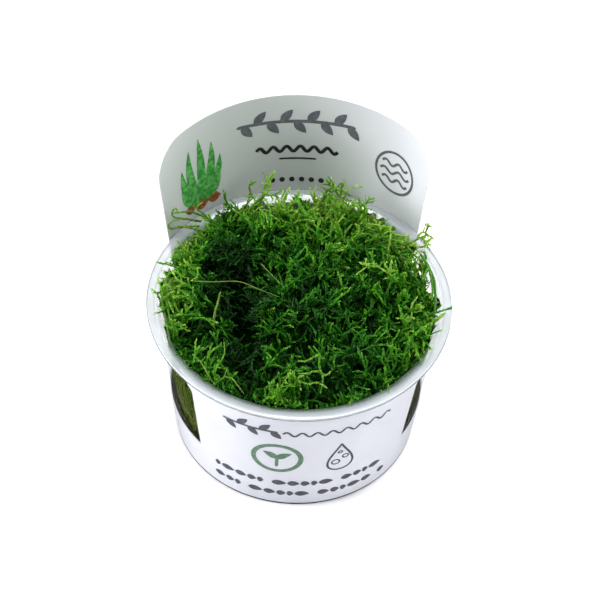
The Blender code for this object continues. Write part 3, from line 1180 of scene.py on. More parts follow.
@dataclass
class Foliage:
    """Turns grown shoots into one mesh of overlapping leaves round thin stems."""

    sizes: LeafSizes
    rng: np.random.Generator
    points: list = field(default_factory=list)
    faces: list = field(default_factory=list)
    tones: list = field(default_factory=list)
    pales: list = field(default_factory=list)
    count: int = 0

    def add(self, points: np.ndarray, faces: np.ndarray, tone: np.ndarray, pale: np.ndarray) -> None:
        """Keep some vertices and faces.

        Args:
            points: The vertices.
            faces: Rows of three vertex numbers, counted from the first of these vertices.
            tone: The tone of each vertex.
            pale: The paleness of each vertex.
        """
        self.points.append(points)
        self.faces.append(faces + self.count)
        self.tones.append(tone)
        self.pales.append(pale)
        self.count += len(points)

    def leaves(self, batch: ShootBatch, tone: np.ndarray, pale: np.ndarray, scale: float = 1.0,
               first: int = 0) -> None:
        """Set one leaf on every node, in a spiral round the stem.

        Args:
            batch: The grown shoots.
            tone: Tone at each node of each shoot.
            pale: Paleness of each shoot.
            scale: Size of the leaves against the usual one.
            first: The first node that bears a leaf.
        """
        ahead, across, root = batch.ahead[:, first:], batch.across[:, first:], batch.points[:, first:]
        count, nodes = root.shape[:2]
        sizes = self.sizes
        above = np.cross(ahead, across)
        share = (np.arange(nodes) + first) / (nodes + first - 1)
        swell = np.sin(math.pi * (sizes.taper_from + sizes.taper_run * share))
        taper = sizes.taper_least + sizes.taper_swell * swell
        phase = self.rng.uniform(0.0, 2.0 * math.pi, (count, 1)) + sizes.spiral * np.arange(nodes)[None, :]
        phase = phase[:, :, None]
        outward = np.cos(phase) * across + np.sin(phase) * above
        jitter = self.rng.normal(0.0, 1.0, (2, count, nodes, 1))
        spread = sizes.spread * (1.0 + sizes.spread_chance * jitter[0])
        spread = spread * (sizes.spread_foot - sizes.spread_closing * share[None, :, None])
        way = ahead * np.cos(spread) + outward * np.sin(spread)
        length = sizes.length * scale * taper[None, :, None]
        length = length * (1.0 + sizes.length_chance * jitter[1])
        broad = unit(np.cross(way, outward)) * length * sizes.width_share * 0.5
        back = unit(outward - way * (outward * way).sum(axis=-1, keepdims=True)) * length * sizes.boat
        tip = root + way * length
        middle = root + way * length * sizes.belly + back
        corners = np.stack([root, middle + broad, tip, middle - broad], axis=2).reshape(-1, 3)
        start = np.arange(count * nodes)[:, None] * 4
        faces = np.concatenate([start + [0, 1, 2], start + [0, 2, 3]])
        shade = (tone[:, first:, None] + np.array(sizes.lift)).reshape(-1)
        self.add(corners, faces, shade, np.repeat(pale, nodes * 4))

    def stems(self, batch: ShootBatch, tone: np.ndarray, pale: np.ndarray, scale: float = 1.0) -> None:
        """Run a stem along each shoot, a little lumpy and thinner at its tip.

        Args:
            batch: The grown shoots.
            tone: Tone at each node of each shoot.
            pale: Paleness of each shoot.
            scale: Thickness of the stems against the usual one.
        """
        last = batch.points.shape[1] - 1
        keep = np.unique(np.append(np.arange(0, last, self.sizes.ring_every), last))
        points, ahead, across = batch.points[:, keep], batch.ahead[:, keep], batch.across[:, keep]
        above = np.cross(ahead, across)
        count, rings = points.shape[:2]
        sides = self.sizes.stem_sides
        taper = 1.0 - (1.0 - self.sizes.stem_tip) * np.linspace(0.0, 1.0, rings) ** 2
        lumps = 1.0 + self.rng.normal(0.0, self.sizes.stem_lumps, (count, rings, 1))
        radius = self.sizes.stem_radius * scale * taper[None, :, None] * lumps
        ring = [points + radius * (math.cos(turn) * across + math.sin(turn) * above)
                for turn in 2.0 * math.pi * np.arange(sides) / sides]
        corners = np.stack(ring, axis=2).reshape(-1, 3)
        base = (np.arange(count)[:, None] * rings + np.arange(rings - 1)[None, :]).reshape(-1, 1) * sides
        faces = []
        for side in range(sides):
            following = (side + 1) % sides
            faces.append(base + [side, following, following + sides])
            faces.append(base + [side, following + sides, side + sides])
        shade = np.repeat(tone[:, keep].reshape(-1) - self.sizes.stem_shade, sides)
        self.add(corners, np.concatenate(faces), shade, np.repeat(pale, rings * sides))

    def mesh(self, name: str, keep_in: Callable[[np.ndarray], np.ndarray]) -> bpy.types.Mesh:
        """Join everything in one mesh.

        Args:
            name: The mesh's name.
            keep_in: Moves vertices that would touch the cup or the card.

        Returns:
            The mesh, with the attributes tone and pale on its vertices.
        """
        mesh = fast_mesh(name, keep_in(np.concatenate(self.points)), np.concatenate(self.faces))
        for key, values in (("tone", self.tones), ("pale", self.pales)):
            layer = mesh.attributes.new(key, "FLOAT", "POINT")
            layer.data.foreach_set("value", np.clip(np.concatenate(values), 0.0, 1.0).astype(np.float32))
        return mesh


# Hollows in the cushion: (x, y, half width, half length, depth), in millimetres
HOLLOWS = (
    (-16.0, -6.0, 5.5, 18.0, 12.0),
    (3.0, -19.0, 5.0, 4.5, 6.0),
    (13.0, -36.0, 7.0, 4.5, 5.0),
    (-1.0, 33.0, 4.5, 9.0, 9.0),
    (-23.5, 33.0, 3.2, 8.0, 9.0),
)


# Patches of painted shade, where the moss also grows lower: (x, y, half width, half length) in millimetres,
# and how much darker
SHADE_PATCHES = (
    (-20.5, 11.0, 7.8, 13.0, 0.46),
    (-14.5, -16.0, 7.5, 20.0, 0.38),
    (17.0, -29.0, 7.0, 8.0, 0.25),
    (9.0, -8.0, 13.0, 14.0, 0.14),
    (-6.0, 14.0, 10.0, 9.0, 0.12),
)


@dataclass
class Crown:
    """The moss's upper surface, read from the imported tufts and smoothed."""

    nodes: list
    cell: float = 1.0 * MM
    reach: float = 46.0 * MM
    smoothing: int = 12
    heights: np.ndarray = field(init=False)
    owner: np.ndarray = field(init=False)

    def __post_init__(self) -> None:
        """Cast a grid of rays down on the tufts."""
        trees = []
        for name in self.nodes:
            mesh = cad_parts[name].data
            corners = [vert.co for vert in mesh.vertices]
            trees.append(BVHTree.FromPolygons(corners, [list(face.vertices) for face in mesh.polygons]))
        side = int(2 * self.reach / self.cell) + 1
        heights = np.full((side, side), np.nan)
        self.owner = np.zeros((side, side), int)
        down = Vector((0.0, 0.0, -1.0))
        for row in range(side):
            for column in range(side):
                start = Vector((-self.reach + column * self.cell, -self.reach + row * self.cell, 0.2))
                for number, tree in enumerate(trees):
                    hit = tree.ray_cast(start, down)[0]
                    if hit is not None and not heights[row, column] > hit.z:
                        heights[row, column] = hit.z
                        self.owner[row, column] = number
        known = ~np.isnan(heights)
        filled = np.where(known, heights, 0.0)
        weight = known.astype(float)
        for _ in range(self.smoothing):
            filled = self.blur(filled)
            weight = self.blur(weight)
        self.heights = filled / np.maximum(weight, 1e-3)

    @staticmethod
    def blur(values: np.ndarray) -> np.ndarray:
        """Average each cell with its four neighbours.

        Args:
            values: The grid's values.

        Returns:
            The averages, in a grid of the same size.
        """
        padded = np.pad(values, 1, mode="edge")
        return (2.0 * padded[1:-1, 1:-1] + padded[:-2, 1:-1] + padded[2:, 1:-1]
                + padded[1:-1, :-2] + padded[1:-1, 2:]) / 6.0

    def cells(self, points: np.ndarray) -> tuple[np.ndarray, np.ndarray]:
        """Find the grid's cell for each point.

        Args:
            points: The points, in metres.

        Returns:
            The row and the column of each.
        """
        top = self.heights.shape[0] - 1
        column = np.clip(np.rint((points[..., 0] + self.reach) / self.cell).astype(int), 0, top)
        row = np.clip(np.rint((points[..., 1] + self.reach) / self.cell).astype(int), 0, top)
        return row, column

    def height(self, points: np.ndarray) -> np.ndarray:
        """Height of the smoothed crown at each point."""
        return self.heights[self.cells(points)]

    @staticmethod
    def hollow(points: np.ndarray) -> np.ndarray:
        """Work out how deep in a hollow each point lies.

        Args:
            points: The points, in metres.

        Returns:
            A share for each, from 0 outside to 1 in the middle of the deepest hollow.
        """
        deepest = max(row[4] for row in HOLLOWS)
        depth = np.zeros(points.shape[:-1])
        for middle_x, middle_y, half_width, half_length, drop in HOLLOWS:
            across = (points[..., 0] / MM - middle_x) / half_width
            along = (points[..., 1] / MM - middle_y) / half_length
            depth = np.maximum(depth, drop / deepest * np.exp(-across ** 2 - along ** 4))
        return depth

    @staticmethod
    def shade_patch(points: np.ndarray) -> np.ndarray:
        """Work out how much darker each point is painted for lying in a patch of painted shade.

        Args:
            points: The points, in metres.

        Returns:
            The loss of tone for each.
        """
        darker = np.zeros(points.shape[:-1])
        for middle_x, middle_y, half_width, half_length, amount in SHADE_PATCHES:
            across = (points[..., 0] / MM - middle_x) / half_width
            along = (points[..., 1] / MM - middle_y) / half_length
            darker = np.maximum(darker, amount * np.exp(-across ** 4 - along ** 4))
        return darker


@dataclass
class Habit:
    """How the plants grow: lengths, spacings and bends. Curls and wavers are in radians a metre."""

    root_depth: float = 9.0 * MM
    root_slide: float = 0.35
    rise_loss: float = 0.6 * MM
    rise_mean: float = 3.4 * MM
    rim_rise: float = 4.3 * MM
    rise_most: float = 10.5 * MM
    back_rise: float = 5.8 * MM
    back_from: float = 4.0 * MM
    back_width: float = 16.0 * MM
    back_rim_rise: float = 3.0 * MM
    back_upright: float = 0.55
    back_fresh: float = 0.15
    # How much lower the moss grows in the patches of painted shade
    patch_rise_loss: float = 11.0 * MM
    rim_start: float = 22.0 * MM
    rim_width: float = 13.0 * MM
    hollow_start: float = 0.25
    hollow_loss: float = 0.6
    notch_loss: float = 0.96
    hollow_lean: float = 0.9
    # Darker tone in the hollows: painted shade
    hollow_painted_shade: float = 0.38
    # Tone from the depths to the tips: darker low down, partly older moss and partly painted shade
    tone_deep: float = 0.1
    tone_rise: float = 0.54
    tone_tip: float = 0.2
    tone_below: float = 5.0 * MM
    tone_band: float = 9.0 * MM
    fresh_chance: float = 0.13
    stem_curl: float = 150.0
    stem_waver: float = 130.0
    lean: float = 0.42
    rim_lean: float = 0.4
    lean_chance: float = 0.34
    tuft_width: float = 12.0 * MM
    bare_share: float = 0.25
    stem_thick: float = 1.25
    stem_leaf: float = 1.05
    branch_from: float = 0.32
    branch_chance: float = 0.86
    branch_gap: float = 1.8 * MM
    branch_length: float = 7.6 * MM
    branch_shrink: float = 0.6
    branch_lengths: tuple = (0.45, 1.5)
    branch_angle: float = math.radians(58.0)
    branch_angle_chance: float = 0.22
    branch_tilt: float = 0.35
    branch_curl: float = 290.0
    branch_curls: tuple = (0.6, 0.75)
    branch_waver: float = 190.0
    twig_places: tuple = (0.2, 0.4, 0.6, 0.8)
    twig_chance: float = 0.5
    twig_length: float = 2.6 * MM
    twig_lengths: tuple = (0.6, 1.5)
    twig_slant: float = 1.1
    twig_tilt: float = 0.3
    twig_thick: float = 0.8
    twig_leaf: float = 0.9
    twig_fresh: float = 0.03
    twig_curl: float = 380.0
    twig_curls: tuple = (0.5, 0.7)


@dataclass
class WallStrands:
    """How the upright strands on the clear wall lie and look."""

    gap: float = 0.7 * MM
    length: float = 33.0 * MM
    past_card: float = 0.08
    foot_mm: tuple = (1.6, 13.0)
    drift: float = 0.05
    sway: float = 0.03
    sway_turns: tuple = (0.6, 1.6)
    off_wall_mm: tuple = (0.55, 1.2)
    top_off_wall_mm: float = 1.2
    tone: float = 0.2
    tone_chance: float = 0.14
    dark_foot: float = 6.0 * MM
    dark_band: float = 22.0 * MM
    pale: tuple = (0.2, 0.65)
    thick: float = 1.15
    leaf: float = 0.9


@dataclass
class MossCushion:
    """The whole cushion: matted depths, leafy plants on every tuft and a few stray strands."""

    cup: Cup
    card: Card
    tufts: tuple = ("moss_tuft_back_left", "moss_tuft_back_right", "moss_tuft_left", "moss_tuft_centre",
                    "moss_tuft_right", "moss_tuft_front_left", "moss_tuft_front_right")
    seed: int = 20
    plants: int = 560
    rim_plants: int = 215
    rim_row: float = 39.0 * MM
    root_reach: float = 39.2 * MM
    rim_gap: float = 0.3 * MM
    overhang: float = 44.2 * MM
    overhang_spread: float = 0.2
    side_limit: float = 44.7 * MM
    fence_width: float = 1.3 * MM
    fence_turn: float = 260.0
    fence_most: float = 2.5
    fence_lift: float = 0.35
    flange_reach: float = 2.5 * MM
    root_scatter: float = 0.8 * MM
    depth_drop: float = 8.5 * MM
    depth_gap: float = 1.9 * MM
    depth_brim: float = 13.0 * MM
    depth_hollow: float = 9.0 * MM
    depth_lumps: float = 1.6 * MM
    depth_dents: float = 0.8 * MM
    notch_from: float = 20.0 * MM
    leaf: LeafSizes = field(default_factory=LeafSizes)
    habit: Habit = field(default_factory=Habit)
    wall: WallStrands = field(default_factory=WallStrands)
    crown: Crown = field(init=False)
    middles: dict = field(init=False)
    finish: bpy.types.Material = field(init=False)

    def __post_init__(self) -> None:
        """Read the crown's surface and the middle of each packed tuft."""
        self.crown = Crown(list(self.tufts))
        self.finish = MossLeaf().make()
        self.middles = {}
        for name in self.tufts:
            low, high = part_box(name)
            self.middles[name] = np.array([(low[0] + high[0]) / 2, (low[1] + high[1]) / 2])

    def limit(self, height: np.ndarray) -> np.ndarray:
        """Work out the greatest radius that moss may have.

        Args:
            height: The heights above the base, in metres.

        Returns:
            The radius at each, in metres.
        """
        cup = self.cup
        seat = cup.rim_top - cup.seat_depth
        inner = np.minimum(cup.wall_top - cup.taper * (cup.flange_height - height) - cup.wall,
                           cup.seat_inner - 0.5 * cup.taper * np.maximum(0.0, seat - height)) - self.rim_gap
        above = height - cup.rim_top
        return np.where(above < self.rim_gap, inner, self.overhang + self.overhang_spread * above)

    def fence(self, points: np.ndarray) -> np.ndarray:
        """Turning that keeps growing shoots inside the limit.

        Args:
            points: Where the shoots' ends are.

        Returns:
            Inward turning for each, in radians a metre.
        """
        radius = np.hypot(points[:, 0], points[:, 1]) + 1e-9
        press = np.clip((radius - self.limit(points[:, 2])) / self.fence_width + 1.0, 0.0, self.fence_most)
        turning = np.zeros_like(points)
        turning[:, :2] = -points[:, :2] / radius[:, None] * press[:, None] ** 2 * self.fence_turn
        turning[:, 2] = self.fence_lift * self.fence_turn * press ** 2
        return turning

    def keep_in(self, points: np.ndarray) -> np.ndarray:
        """Push vertices off the cup's wall and flange, and off the card behind.

        Args:
            points: The vertices.

        Returns:
            The vertices, moved where they had to be.
        """
        moved = points.copy()
        cup = self.cup
        moved[:, 2] = np.maximum(moved[:, 2], cup.floor + self.rim_gap)
        radius = np.hypot(moved[:, 0], moved[:, 1]) + 1e-9
        resting = radius > self.limit(np.full(len(moved), cup.flange_height))
        resting &= moved[:, 2] > cup.flange_height - self.flange_reach
        moved[:, 2] = np.where(resting, np.maximum(moved[:, 2], cup.rim_top + self.rim_gap), moved[:, 2])
        scale = np.minimum(1.0, self.limit(moved[:, 2]) / radius)
        moved[:, :2] *= scale[:, None]
        moved[:, 0] = np.clip(moved[:, 0], -self.side_limit, self.side_limit)
        moved[:, 1] = np.maximum(moved[:, 1], -self.side_limit)
        return moved

    def scatter(self, rng: np.random.Generator) -> np.ndarray:
        """Spread the plants' roots evenly over the cup, with one more row along the wall.

        Args:
            rng: The seeded source of chance.

        Returns:
            The roots' x and y, in metres.
        """
        golden = math.pi * (3.0 - math.sqrt(5.0))
        index = np.arange(self.plants)
        radius = self.root_reach * np.sqrt((index + 0.5) / self.plants)
        turn = index * golden
        radius = np.append(radius, np.full(self.rim_plants, self.rim_row))
        turn = np.append(turn, 2.0 * math.pi * np.arange(self.rim_plants) / self.rim_plants)
        spots = np.stack([radius * np.cos(turn), radius * np.sin(turn)], axis=1)
        return spots + rng.normal(0.0, self.root_scatter, spots.shape)

    def tone(self, points: np.ndarray, fresh: np.ndarray) -> np.ndarray:
        """Tone the moss: dark in the depths, partly older moss and partly painted shade, painted shade in the
        hollows and the shaded patches, bright above the crown and at tips.

        Args:
            points: The nodes of each shoot.
            fresh: How bright each shoot is.

        Returns:
            The tone at each node.
        """
        habit = self.habit
        above = points[..., 2] - self.crown.height(points)
        rise = np.clip((above + habit.tone_below) / habit.tone_band, 0.0, 1.0)
        share = np.linspace(0.0, 1.0, points.shape[1])[None, :] ** 2
        sunk = self.crown.hollow(points)
        shade_patch = self.crown.shade_patch(points)
        back = habit.back_fresh * np.clip(points[..., 1] / habit.back_width - 0.8, 0.0, 1.0)
        tone = habit.tone_deep + habit.tone_rise * rise + habit.tone_tip * share + fresh[:, None] + back
        # Painted shade: darker in the hollows and in the shaded patches
        return tone - habit.hollow_painted_shade * sunk - shade_patch

    def grow(self, foliage: Foliage, start: np.ndarray, heading: np.ndarray, length: np.ndarray,
             rng: np.random.Generator) -> None:
        """Grow plants: a stem each, branches along it and twigs on those.

        Args:
            foliage: Where their leaves and stems go.
            start: Where each stem starts.
            heading: The way in which each sets off.
            length: The stems' lengths.
            rng: The seeded source of chance.
        """
        habit, count = self.habit, len(start)
        nodes = int(round(float(length.mean()) / self.leaf.spacing)) + 1
        side = any_side(heading, rng)
        curls = rng.normal(0.0, habit.stem_curl, count)
        stems = ShootBatch(start, heading, side, length, nodes)
        stems.grow(rng, curls, any_side(heading, rng), habit.stem_waver, self.fence)
        fresh = rng.normal(0.0, habit.fresh_chance, count)
        pale = np.zeros(count)
        tone = self.tone(stems.points, fresh)
        foliage.stems(stems, tone, pale, habit.stem_thick)
        foliage.leaves(stems, tone, pale, habit.stem_leaf, int(habit.bare_share * nodes))
        mean = float(length.mean())
        steps = max(1, int((1.0 - habit.branch_from) * mean / habit.branch_gap))
        for order in range(steps):
            share = order / steps
            node = int((habit.branch_from + (1.0 - habit.branch_from) * share) * (nodes - 1))
            self.branch(foliage, stems, fresh, node, share, 1.0 if order % 2 else -1.0, rng)

    def branch(self, foliage: Foliage, stems: ShootBatch, fresh: np.ndarray, node: int, share: float,
               hand: float, rng: np.random.Generator) -> None:
        """Grow one branch on each of the stems at about the same node.

        Args:
            foliage: Where the branches' leaves and stems go.
            stems: The grown stems.
            fresh: How bright each plant is.
            node: The stems' node that bears the branch.
            share: How far up the leafy part of the stem that is.
            hand: The side of the stem, 1 or -1.
            rng: The seeded source of chance.
        """
        habit = self.habit
        rows = np.nonzero(rng.random(len(fresh)) < habit.branch_chance)[0]
        if not len(rows):
            return
        spots = np.clip(node + rng.integers(-3, 4, len(rows)), 0, stems.nodes - 1)
        ahead, across = stems.ahead[rows, spots], stems.across[rows, spots]
        above = np.cross(ahead, across)
        angle = rng.normal(habit.branch_angle, habit.branch_angle_chance, (len(rows), 1))
        heading = unit(ahead * np.cos(angle) + hand * across * np.sin(angle)
                       + above * rng.normal(0.0, habit.branch_tilt, (len(rows), 1)))
        mean = habit.branch_length * (1.0 - habit.branch_shrink * share)
        length = mean * rng.uniform(*habit.branch_lengths, len(rows))
        nodes = max(6, int(round(mean / self.leaf.spacing)))
        curls = rng.normal(*habit.branch_curls, len(rows)) * habit.branch_curl
        shoots = ShootBatch(stems.points[rows, spots], heading, unit(np.cross(heading, above)), length, nodes)
        shoots.grow(rng, curls, ahead, habit.branch_waver, self.fence)
        pale = np.zeros(len(rows))
        tone = self.tone(shoots.points, fresh[rows])
        foliage.stems(shoots, tone, pale)
        foliage.leaves(shoots, tone, pale)
        if nodes > 10:
            for place in habit.twig_places:
                self.twig(foliage, shoots, fresh[rows], int(place * nodes), rng)

    def twig(self, foliage: Foliage, shoots: ShootBatch, fresh: np.ndarray, node: int,
             rng: np.random.Generator) -> None:
        """Grow short twigs on some of the branches.

        Args:
            foliage: Where the twigs' leaves and stems go.
            shoots: The grown branches.
            fresh: How bright each plant is.
            node: The branches' node that bears the twigs.
            rng: The seeded source of chance.
        """
        habit = self.habit
        rows = np.nonzero(rng.random(len(fresh)) < habit.twig_chance)[0]
        if not len(rows):
            return
        ahead, across = shoots.ahead[rows, node], shoots.across[rows, node]
        hand = rng.choice([-1.0, 1.0], (len(rows), 1))
        tilt = rng.normal(0.0, habit.twig_tilt, (len(rows), 3))
        heading = unit(ahead + hand * across * habit.twig_slant + tilt)
        length = habit.twig_length * rng.uniform(*habit.twig_lengths, len(rows))
        nodes = max(5, int(round(habit.twig_length / self.leaf.spacing)))
        twigs = ShootBatch(shoots.points[rows, node], heading, any_side(heading, rng), length, nodes)
        curls = rng.normal(*habit.twig_curls, len(rows)) * habit.twig_curl
        twigs.grow(rng, curls, ahead, habit.branch_waver, self.fence)
        tone = self.tone(twigs.points, fresh[rows] + habit.twig_fresh)
        foliage.stems(twigs, tone, np.zeros(len(rows)), habit.twig_thick)
        foliage.leaves(twigs, tone, np.zeros(len(rows)), habit.twig_leaf)

    def away_from_hollow(self, roots: np.ndarray) -> np.ndarray:
        """Find the way out of the hollows.

        Args:
            roots: The roots' x and y, in metres.

        Returns:
            For each root the slope of the hollows' depth, pointing out of them.
        """
        step = 1.5 * MM
        slope = np.zeros_like(roots)
        for axis in range(2):
            shift = np.zeros(2)
            shift[axis] = step
            slope[:, axis] = self.crown.hollow(roots - shift) - self.crown.hollow(roots + shift)
        return 2.0 * slope

    def random_plants(self, foliage: Foliage, name: str, roots: np.ndarray, rng: np.random.Generator) -> None:
        """Grow the plants of one tuft, leaning away from its middle.

        Args:
            foliage: Where their leaves and stems go.
            name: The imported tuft's name.
            roots: The roots' x and y, in metres.
            rng: The seeded source of chance.
        """
        habit, count = self.habit, len(roots)
        outward = (roots - self.middles[name]) / habit.tuft_width
        rim = np.clip((np.hypot(roots[:, 0], roots[:, 1]) - habit.rim_start) / habit.rim_width, 0.0, 1.0)
        back = np.clip((roots[:, 1] - habit.back_from) / habit.back_width, 0.0, 1.0)
        spread = habit.lean * outward + habit.rim_lean * rim[:, None] * roots / self.root_reach
        heading = np.ones((count, 3))
        spread = spread + rng.normal(0.0, habit.lean_chance, (count, 2))
        heading[:, :2] = (1.0 - habit.back_upright * back[:, None]) * spread
        heading[:, :2] += habit.hollow_lean * self.away_from_hollow(roots)
        heading = unit(heading)
        start = np.zeros((count, 3))
        start[:, :2] = roots - heading[:, :2] * habit.root_depth * habit.root_slide
        start[:, 2] = self.crown.height(roots) - habit.root_depth
        rise = rng.gamma(2.0, 0.5 * (habit.rise_mean + habit.rim_rise * rim)) - habit.rise_loss
        rise = np.minimum(rise, habit.rise_most)
        taller = habit.back_rise * back + habit.back_rim_rise * rim * np.sqrt(back)
        rise += taller * (1.0 - self.crown.hollow(roots))
        rise -= habit.patch_rise_loss * self.crown.shade_patch(roots)
        self.grow(foliage, start, heading, habit.root_depth + rise, rng)

    def wall_strands(self, foliage: Foliage, hand: float, rng: np.random.Generator) -> None:
        """Grow upright strands behind the clear wall between the card's panels.

        Args:
            foliage: Where they go.
            hand: The window's side, -1 for the left one.
            rng: The seeded source of chance.
        """
        card, wall = self.card, self.wall
        middle = 0.5 * (card.back_half_foot + math.pi - card.front_half)
        half = 0.5 * (math.pi - card.front_half - card.back_half_foot) + wall.past_card
        count = int(2.0 * half * self.cup.inner_radius(25.0 * MM) / wall.gap)
        nodes = int(wall.length / self.leaf.spacing)
        share = np.linspace(0.0, 1.0, nodes)[None, :]
        height = rng.uniform(*wall.foot_mm, count)[:, None] * MM + share * wall.length
        drift = np.cumsum(rng.normal(0.0, 1.0, (count, nodes)), axis=1) / math.sqrt(nodes)
        waves = rng.uniform(*wall.sway_turns, (count, 1)) * share + rng.random((count, 1))
        sway = wall.sway * np.sin(2.0 * math.pi * waves)
        angle = hand * (middle + np.linspace(-half, half, count)[:, None]) + card.turn
        angle = angle + wall.drift * drift + sway
        inner = np.minimum(self.cup.outer_radius(height) - self.cup.wall, self.limit(height) + self.rim_gap)
        radius = inner - (rng.uniform(*wall.off_wall_mm, (count, 1)) + wall.top_off_wall_mm * share ** 4) * MM
        points = np.stack([radius * np.sin(angle), radius * np.cos(angle), height], axis=2)
        ahead = unit(np.gradient(points, axis=1))
        across = unit(np.cross(ahead, points * [1.0, 1.0, 0.0]))
        lengths = np.full(count, wall.length)
        strands = ShootBatch(points[:, 0], ahead[:, 0], across[:, 0], lengths, nodes)
        strands.points, strands.ahead, strands.across = points, ahead, across
        tone = np.full((count, nodes), wall.tone) + rng.normal(0.0, wall.tone_chance, (count, 1))
        tone *= np.clip((height - wall.dark_foot) / wall.dark_band, 0.1, 1.0)
        pale = rng.uniform(*wall.pale, count)
        foliage.stems(strands, tone, pale, wall.thick)
        foliage.leaves(strands, tone, pale, wall.leaf)

    def stray(self, foliage: Foliage, line: list, tone: float, pale: float, width: float,
              leafy: float) -> None:
        """Lay one strand through points.

        Args:
            foliage: Where it goes.
            line: Points in millimetres.
            tone: Its tone.
            pale: Its paleness.
            width: Its width in millimetres.
            leafy: Size of its leaves against the usual one.
        """
        knots = np.array(line, float) * MM
        padded = np.concatenate([[2 * knots[0] - knots[1]], knots, [2 * knots[-1] - knots[-2]]])
        path = []
        for index in range(len(knots) - 1):
            before, first, second, after = padded[index:index + 4]
            reach = float(np.linalg.norm(second - first))
            for share in np.arange(0.0, 1.0, self.leaf.spacing / reach):
                path.append(0.5 * (2 * first + (second - before) * share
                                   + (2 * before - 5 * first + 4 * second - after) * share ** 2
                                   + (3 * first - before - 3 * second + after) * share ** 3))
        path = np.array(path)
        ahead = unit(np.gradient(path, axis=0))
        across = unit(np.cross(ahead, [0.1, 0.2, 1.0]))
        batch = ShootBatch(path[:1], ahead[:1], across[:1], np.array([1.0]), len(path))
        batch.points, batch.ahead, batch.across = path[None], ahead[None], across[None]
        tones = np.full((1, len(path)), tone)
        pales = np.array([pale])
        foliage.stems(batch, tones, pales, width / (2.0 * self.leaf.stem_radius / MM))
        foliage.leaves(batch, tones, pales, leafy)

    def depths(self) -> bpy.types.Object:
        """Make the matted mound under the plants, nearly black with painted shade.

        Returns:
            The mound's object.
        """
        turns, wall_rows, top_rows = 180, 26, 46
        floor = self.cup.floor + 0.4 * MM
        brim = self.cup.rim_top - self.depth_brim
        angles = 2.0 * math.pi * np.arange(turns) / turns
        points = []
        for row in range(wall_rows + top_rows):
            for angle in angles:
                share = max(0.0, (row - wall_rows + 1) / top_rows)
                level = floor + (brim - floor) * min(1.0, row / (wall_rows - 1))
                radius = (self.cup.inner_radius(level) - self.depth_gap) * (1.0 - share) + 0.02 * MM
                spot = np.array([radius * math.cos(angle), radius * math.sin(angle)])
                if share > 0.0:
                    sunk = float(self.crown.height(spot) - self.depth_hollow * self.crown.hollow(spot))
                    sunk -= self.depth_drop
                    sunk += self.depth_lumps * noise.noise(Vector((spot[0], spot[1], 0.0)) / (3.2 * MM))
                    level += (sunk - level) * smooth_step(6.0 * share)
                grain = noise.noise(Vector((spot[0], spot[1], level)) / (2.4 * MM))
                dent = self.depth_dents * min(0.0, grain)
                spot *= (radius + dent) / radius
                points.append((spot[0], spot[1], level))
        faces = []
        for row in range(wall_rows + top_rows - 1):
            for turn in range(turns):
                following = (turn + 1) % turns
                faces.append((row * turns + turn, row * turns + following,
                              (row + 1) * turns + following, (row + 1) * turns + turn))
        mesh = fast_mesh("moss_depths", np.array(points), np.array(faces))
        shape = bmesh.new()
        shape.from_mesh(mesh)
        bmesh.ops.holes_fill(shape, edges=[edge for edge in shape.edges if edge.is_boundary])
        bmesh.ops.recalc_face_normals(shape, faces=shape.faces)
        shape.to_mesh(mesh)
        shape.free()
        return add_piece(mesh, [MossDepthShade().make()])

    def build(self) -> list[bpy.types.Object]:
        """Build the depths, then each tuft's plants with the strands that lie on it.

        Returns:
            The moss's objects.
        """
        rng = np.random.default_rng(self.seed)
        pieces = [self.depths()]
        roots = self.scatter(rng)
        sunk = self.crown.hollow(roots)
        chance = np.where(roots[:, 1] > self.notch_from, self.habit.notch_loss, self.habit.hollow_loss)
        lost = (sunk > self.habit.hollow_start) & (rng.random(len(roots)) < chance)
        roots = roots[~lost]
        owner = self.crown.owner[self.crown.cells(roots)]
        for number, name in enumerate(self.tufts):
            foliage = Foliage(self.leaf, rng)
            self.random_plants(foliage, name, roots[owner == number], rng)
            if name == "moss_tuft_left":
                self.wall_strands(foliage, -1.0, rng)
            if name == "moss_tuft_right":
                self.wall_strands(foliage, 1.0, rng)
            for stray in STRAYS.get(name, ()):
                self.stray(foliage, *stray)
            mesh = foliage.mesh(name.replace("moss_tuft", "moss"), self.keep_in)
            pieces.append(add_piece(mesh, [self.finish], [name]))
        return pieces


